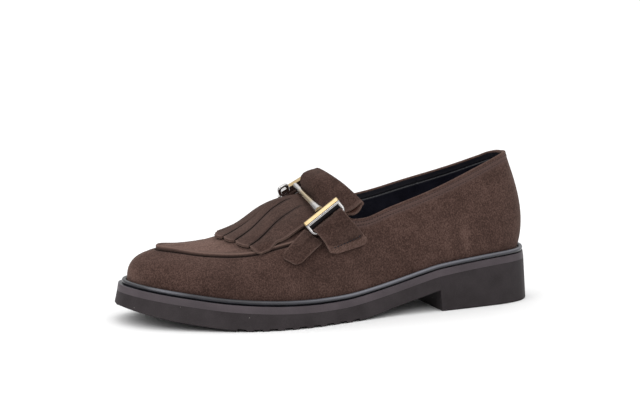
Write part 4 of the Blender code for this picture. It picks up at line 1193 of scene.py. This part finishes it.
def ring(side, word):
    """Gold face bar with a silver bevel over a dark lower face, and the wire that carries the strap."""
    centre, along, up_strap, outward, _ = ring_frame(side)
    bar = centre + up_strap * (FACE_DEEP - FACE_BAR_WIDE) / 2
    meet = bar + up_strap * FACE_DROP
    reach = FACE_LONG / 2
    first = -reach + (INNER_SHORT if side == MEDIAL else 0.0)
    ends = (first, first + BAR_BEVEL, -reach + HOOK_LONG, reach - BAR_BEVEL, reach)
    section = [(max(y, BAR_LOWEST[side]), z) for y, z in BAR_SECTION]
    sections = []
    for run, size in zip(ends, (BAR_END, 1.0, 1.0, 1.0, BAR_END)):
        sections.append([meet + along * run + up_strap * y * size + outward * z * size for y, z in section])
    verts, faces = tube(sections)
    front = HOOK_LOOKS if side == MEDIAL else BAR_LOOKS
    part = list(front) * 2 + list(BAR_LOOKS) * 2 + [1, 1]
    piece("snaffle_bar_" + word, "gold_metal", verts, faces, [GOLD, SILVER, DARK_METAL],
          ("face_bar_" + word,), part, BAR_ROUNDING, BAR_SHARP)
    half, deep = FACE_LONG / 2 - WIRE_RADIUS, FACE_DEEP - FACE_BAR_WIDE / 2 - WIRE_RADIUS - WIRE_UP
    corners = [bar + along * half * a - up_strap * deep * b - outward * WIRE_DROP * c
               for a, b, c in WIRE_ROUTE]
    piece("ring_wire_" + word, "silver_metal", *wire(rounded_path(corners), WIRE_RADIUS, outward), [SILVER])
    if side == MEDIAL:
        run, up, off = EYE_AT
        middle = meet + along * (run - reach) + up_strap * up + outward * off
        corners = [middle + along * EYE_HALF[0] * a + up_strap * EYE_HALF[1] * b for a, b in EYE_ROUTE]
        path = rounded_path(corners)[:-1]
        piece("ring_eye_" + word, "silver_metal", *wire(path, EYE_WIRE, outward, closed=True), [SILVER])


def rounded_path(corners):
    """Polyline with its inner corners turned into short arcs."""
    path = [corners[0]]
    for before, corner, after in zip(corners, corners[1:], corners[2:]):
        start, finish = corner + unit(before - corner) * WIRE_BEND, corner + unit(after - corner) * WIRE_BEND
        for t in np.linspace(0.0, 1.0, BEND_STEPS):
            path.append(start * (1 - t) ** 2 + corner * 2 * t * (1 - t) + finish * t * t)
    return path + [corners[-1]]


def wire(path, radius, guide, turns=WIRE_TURNS, closed=False):
    """Round wire along a path, with one radius or a radius at each point."""
    path = np.array(path)
    sections = []
    for point, step, thick in zip(path, np.gradient(path, axis=0), np.broadcast_to(radius, len(path))):
        side = unit(np.cross(step, guide))
        over = unit(np.cross(side, step))
        sections.append(circle(point, thick, side, over, turns))
    return tube(sections, closed)


def crossbar():
    """Bar between the two face bars, with silver ends and a pale gold middle."""
    ends = [np.array(FACE_BAR[side][0]) for side in (LATERAL, MEDIAL)]
    axis = unit(ends[1] - ends[0])
    start, finish = ends[0] + axis * BAR_END_GAP, ends[1] - axis * BAR_END_GAP
    shares = np.unique(np.concatenate((np.linspace(0.0, 1.0, CROSSBAR_STEPS), [row[0] for row in CROSSBAR])))
    path = start + shares[:, None] * (finish - start)
    verts, faces = wire(path, bar_radius(shares), UP, BAR_TURNS)
    first, soft, end = GILT
    gilt = np.repeat(smooth((shares - first) / soft) * smooth((end - shares) / soft), len(BAR_TURNS))
    piece("crossbar_turned", "silver_metal", verts, faces, [BAR_METAL], ("crossbar",), gilt=gilt)


def sole_stations():
    """Places from heel to toe where the sole is cut across, with the cut of its tread there."""
    breast, ahead = share_at(BREAST_X), share_at(BREAST_X + BREAST_RUN)
    t = np.linspace(0.0, 1.0, SOLE_STATIONS)
    even = np.clip(0.5 * t + 0.25 * (1 - np.cos(math.pi * t)), END_KEEP, 1 - END_KEEP)
    stations = [(s, 0.0) for s in even if s < breast or s > ahead] + [(breast, 0.0), (ahead, 0.0)]
    for first, end, pitch, wide, deep in TREAD:
        for x in np.arange(first, end, pitch):
            for dx, cut in ((0.0, 0.0), (TREAD_RAMP, deep), (wide - TREAD_RAMP, deep), (wide, 0.0)):
                stations.append((share_at(x + dx), cut))
            stations = [s for s in stations if s[1] or not share_at(x) < s[0] < share_at(x + wide)]
    return sorted(stations), breast


def outsole():
    """Moulded unit: block heel with fine teeth, waist, forefoot with lugs along its edges."""
    stations, breast = sole_stations()
    sections = []
    for share, cut in stations:
        feet = {side: edge(side, share) for side in (LATERAL, MEDIAL)}
        width = np.linalg.norm(feet[LATERAL] - feet[MEDIAL])
        reach = min(LUG_REACH / width, LUG_SHARE)
        ring = {}
        for side, foot in feet.items():
            rim = edge(side, share, RIM_INSET)
            low = 0.0 if share <= breast else max(0.0, float(underside(foot[0])))
            top = float(strip_top(rim[0])) - BAND_HEIGHT
            inner = foot + (feet[-side] - foot) * reach
            sole_side = [(*inner, low), (*edge(side, share, SOLE_ROUND), low + cut)]
            for up in SIDE_ROWS:
                at = foot + (rim - foot) * up
                level = low + SOLE_ROUND * (1 - up) + up * (top - low)
                sole_side.append((*at, max(level, low + cut)))
            ring[side] = sole_side
        sections.append(ring[LATERAL] + ring[MEDIAL][::-1])
    verts, faces = tube(sections)
    piece("sole_unit", "sole_rubber", verts, faces, [RUBBER_LOOK], ("outsole",), sharp=SOLE_SHARP)


def welt():
    """Pale strip with softened edges; its ledge under the bead is black, as painted shade in the crevice
    between them.
    """
    sections = []
    for side, share in outline_walk(WELT_STEPS):
        ring = []
        for inset, low in WELT_SECTION:
            at = edge(side, share, inset)
            ring.append((*at, float(strip_top(at[0])) - low))
        sections.append(ring)
    verts, faces = tube(sections, closed=True)
    size = len(WELT_SECTION)
    part = [1 if k % size == WELT_LEDGE else 0 for k in range(len(faces))]
    piece("sole_band", "sole_strip", verts, faces, [STRIP_LOOK, BEAD_LOOK], ("welt",), part)


def outline_walk(count):
    """Sides and shares once round the outline."""
    shares = np.linspace(0.0, 1.0, count)
    return [(LATERAL, s) for s in shares] + [(MEDIAL, s) for s in shares[-2:0:-1]]


def rand():
    """Glossy bead in the corner between strip and upper."""
    sections, worn = [], []
    for side, share in outline_walk(RAND_STEPS):
        control = rib(side, share)
        foot = control[0]
        out = np.array([*outward_at(side, share), 0.0])
        lean = np.dot(control[1] - foot, out) / (control[1] - foot)[2]
        centre = foot + out * (RAND_RADIUS + GAP / 2 + 2 * lean * RAND_RADIUS) + UP * RAND_RADIUS
        sections.append(circle(centre, RAND_RADIUS, out, UP, RAND_TURNS))
        # painted highlight along the bead's upper side, its strength set by x
        pale = float(bead_worn(centre[0]))
        worn += [pale * max(0.0, math.cos(turn - RAND_TOP)) ** RAND_NARROW for turn in RAND_TURNS]
    piece("gloss_bead", "gloss_bead", *tube(sections, closed=True), [BEAD_LOOK], ("rand",), worn=worn)


def insole():
    """Lining sock: rises a little towards its edges, with a soft rim."""
    shares = np.clip(np.linspace(0.0, 1.0, INSOLE_STEPS), 2 * END_KEEP, 1 - 2 * END_KEEP)
    sections = []
    for share in shares:
        ends = {}
        for side in (LATERAL, MEDIAL):
            ends[side] = edge(side, share, float(foot_inset(edge(side, share)[0])) + SOCK_INSET)
        row = []
        for v in np.linspace(-1.0, 1.0, SOCK_COLUMNS):
            at = ends[LATERAL] * (1 + v) / 2 + ends[MEDIAL] * (1 - v) / 2
            dish = SOCK_DISH * v * v - SOCK_ROUND * abs(v) ** SOCK_EDGE
            row.append((*at, float(strip_top(at[0])) + GAP + INSOLE_THICK + dish))
        under = [(x, y, float(strip_top(x)) + GAP) for x, y, _ in row[::-1]]
        sections.append(row + under)
    piece("lining_sock", "lining_leather", *tube(sections), [SOCK], ("insole",))


def camera():
    """The photograph's view: a long lens from in front of the outer side, a little above."""
    turn, up = math.radians(VIEW_TURN), math.radians(VIEW_UP)
    back = Vector((math.sin(turn) * math.cos(up), math.cos(turn) * math.cos(up), math.sin(up)))
    lens = bpy.data.cameras.new("camera")
    lens.sensor_width = SENSOR
    lens.lens = PIXELS_PER_MM * VIEW_FAR / IMAGE_WIDE * SENSOR
    eye = shown("camera", lens)
    eye.location = (Vector(VIEW_AT) - Vector(SHIFT) + back * VIEW_FAR) * MM
    eye.rotation_euler = back.to_track_quat("Z", "Y").to_euler()
    bpy.context.scene.camera = eye


def floor():
    """Plain pale floor."""
    look = Look("floor", FLOOR_TONE, 0.9, Specular_IOR_Level=0.1)
    look.colour(look.ramp(look.noise(400.0, 2.0), ((0.3, FLOOR_TONE), (0.7, FLOOR_PALE))))
    mesh = bpy.data.meshes.new("floor")
    half = FLOOR_WIDE / 2
    mesh.from_pydata([(-half, -half, 0.0), (half, -half, 0.0), (half, half, 0.0), (-half, half, 0.0)],
                     [], [(0, 1, 2, 3)])
    mesh.materials.append(look.material)
    ground = shown("floor", mesh)


def lights():
    """Soft panels and a sky that is brightest overhead."""
    for name, place, aim, wide, high, power in PANELS:
        panel = bpy.data.lights.new(name, "AREA")
        panel.shape = "RECTANGLE"
        panel.size, panel.size_y, panel.energy = wide, high, power
        lamp = shown(name, panel)
        lamp.location = place
        lamp.rotation_euler = (Vector(place) - Vector(aim)).to_track_quat("Z", "Y").to_euler()
    world = bpy.data.worlds.new("studio")
    world.use_nodes = True
    tree = world.node_tree
    place, split = tree.nodes.new("ShaderNodeTexCoord"), tree.nodes.new("ShaderNodeSeparateXYZ")
    tone = tree.nodes.new("ShaderNodeValToRGB")
    set_stops(tone, [(at, (share,) * 3) for at, share in SKY])
    background = tree.nodes["Background"]
    tree.links.new(place.outputs["Generated"], split.inputs["Vector"])
    tree.links.new(split.outputs["Z"], tone.inputs["Fac"])
    tree.links.new(tone.outputs["Color"], background.inputs["Color"])
    background.inputs["Strength"].default_value = SKY_POWER
    bpy.context.scene.world = world
    bpy.context.scene.view_settings.view_transform = "Standard"


SUEDE = suede("suede", *NAP_TONES)
TRIM_LOOKS = [suede("suede_darker", *FLAP_TONES), suede("suede_flesh_side", *FLESH)]
RUBBER_LOOK, STRIP_LOOK, BEAD_LOOK = rubber(), strip_rubber(), gloss_bead()
LINING = smooth_leather("lining", LINING_TONES, 0.42)
SOCK = smooth_leather("sock", SOCK_TONES, 0.55)
GOLD, SILVER = metal("gold", GOLD_TONE, GOLD_PALE, 0.16), metal("silver", SILVER_TONE, SILVER_PALE, 0.14)
BAR_METAL, DARK_METAL = gilded("gilded_bar"), metal("dark_metal", *BLACK_METAL, 0.3)
THREAD = thread("thread", THREAD_TONE, THREAD_PALE)
BLACK_THREAD = thread("dark_thread", DARK_THREAD, DARK_THREAD_PALE)

camera()
floor()
lights()
outsole()
welt()
rand()
insole()
grid = upper()
SKIN = BVHTree.FromPolygons(grid[2].tolist(), grid[5].tolist())
for name, below in COLLAR_SEAMS:
    stitches(name, *collar_line(grid, below), THREAD, *COLLAR_STITCH)
stitches("lining_stitches", *collar_line(grid, LINING_STITCH_LOW, inside=True), BLACK_THREAD, *LINING_STITCH)
verts, faces, thick, cut, dark = flap()
# the slits carry painted shade, the strips' ends pale cut edges
leather("fringe_flap", verts, faces, UP, thick, "flap", cut=cut, shade=dark)
for side, word in ((LATERAL, "lateral"), (MEDIAL, "medial")):
    out = np.array([0.0, side, 0.0])
    verts, faces = strap(side)
    rows = verts.reshape(STRAP_ROWS + LOOP_ROWS, STRAP_COLUMNS, 3)
    low = np.linalg.norm(rows - verts[:STRAP_COLUMNS], axis=2)
    # the strap's foot below its stitches is paler
    worn = STRAP_PALE * np.tile(smooth((PALE_LOW - low.ravel()) / PALE_SOFT), 2)
    row = int(np.argmin(abs(low[:, STRAP_COLUMNS // 2] - PALE_LOW)))
    seam = slice(row * STRAP_COLUMNS + STITCH_MARGIN, (row + 1) * STRAP_COLUMNS - STITCH_MARGIN)
    # painted shade along the stitched groove
    groove_shade = np.zeros(2 * len(verts))
    groove_shade[seam] = STITCH_SHADE
    normals = leather("suede_strap_" + word, verts, faces, out, STRAP_THICK, "strap_" + word,
                      worn=worn, shade=groove_shade)
    top = verts + normals * STRAP_THICK
    stitches("strap_stitches_" + word, top[seam], normals[seam], BLACK_THREAD, *STRAP_STITCH)
    leather("suede_tab_" + word, *tab(side), out, STRAP_THICK, "tab_" + word)
    ring(side, word)
crossbar()
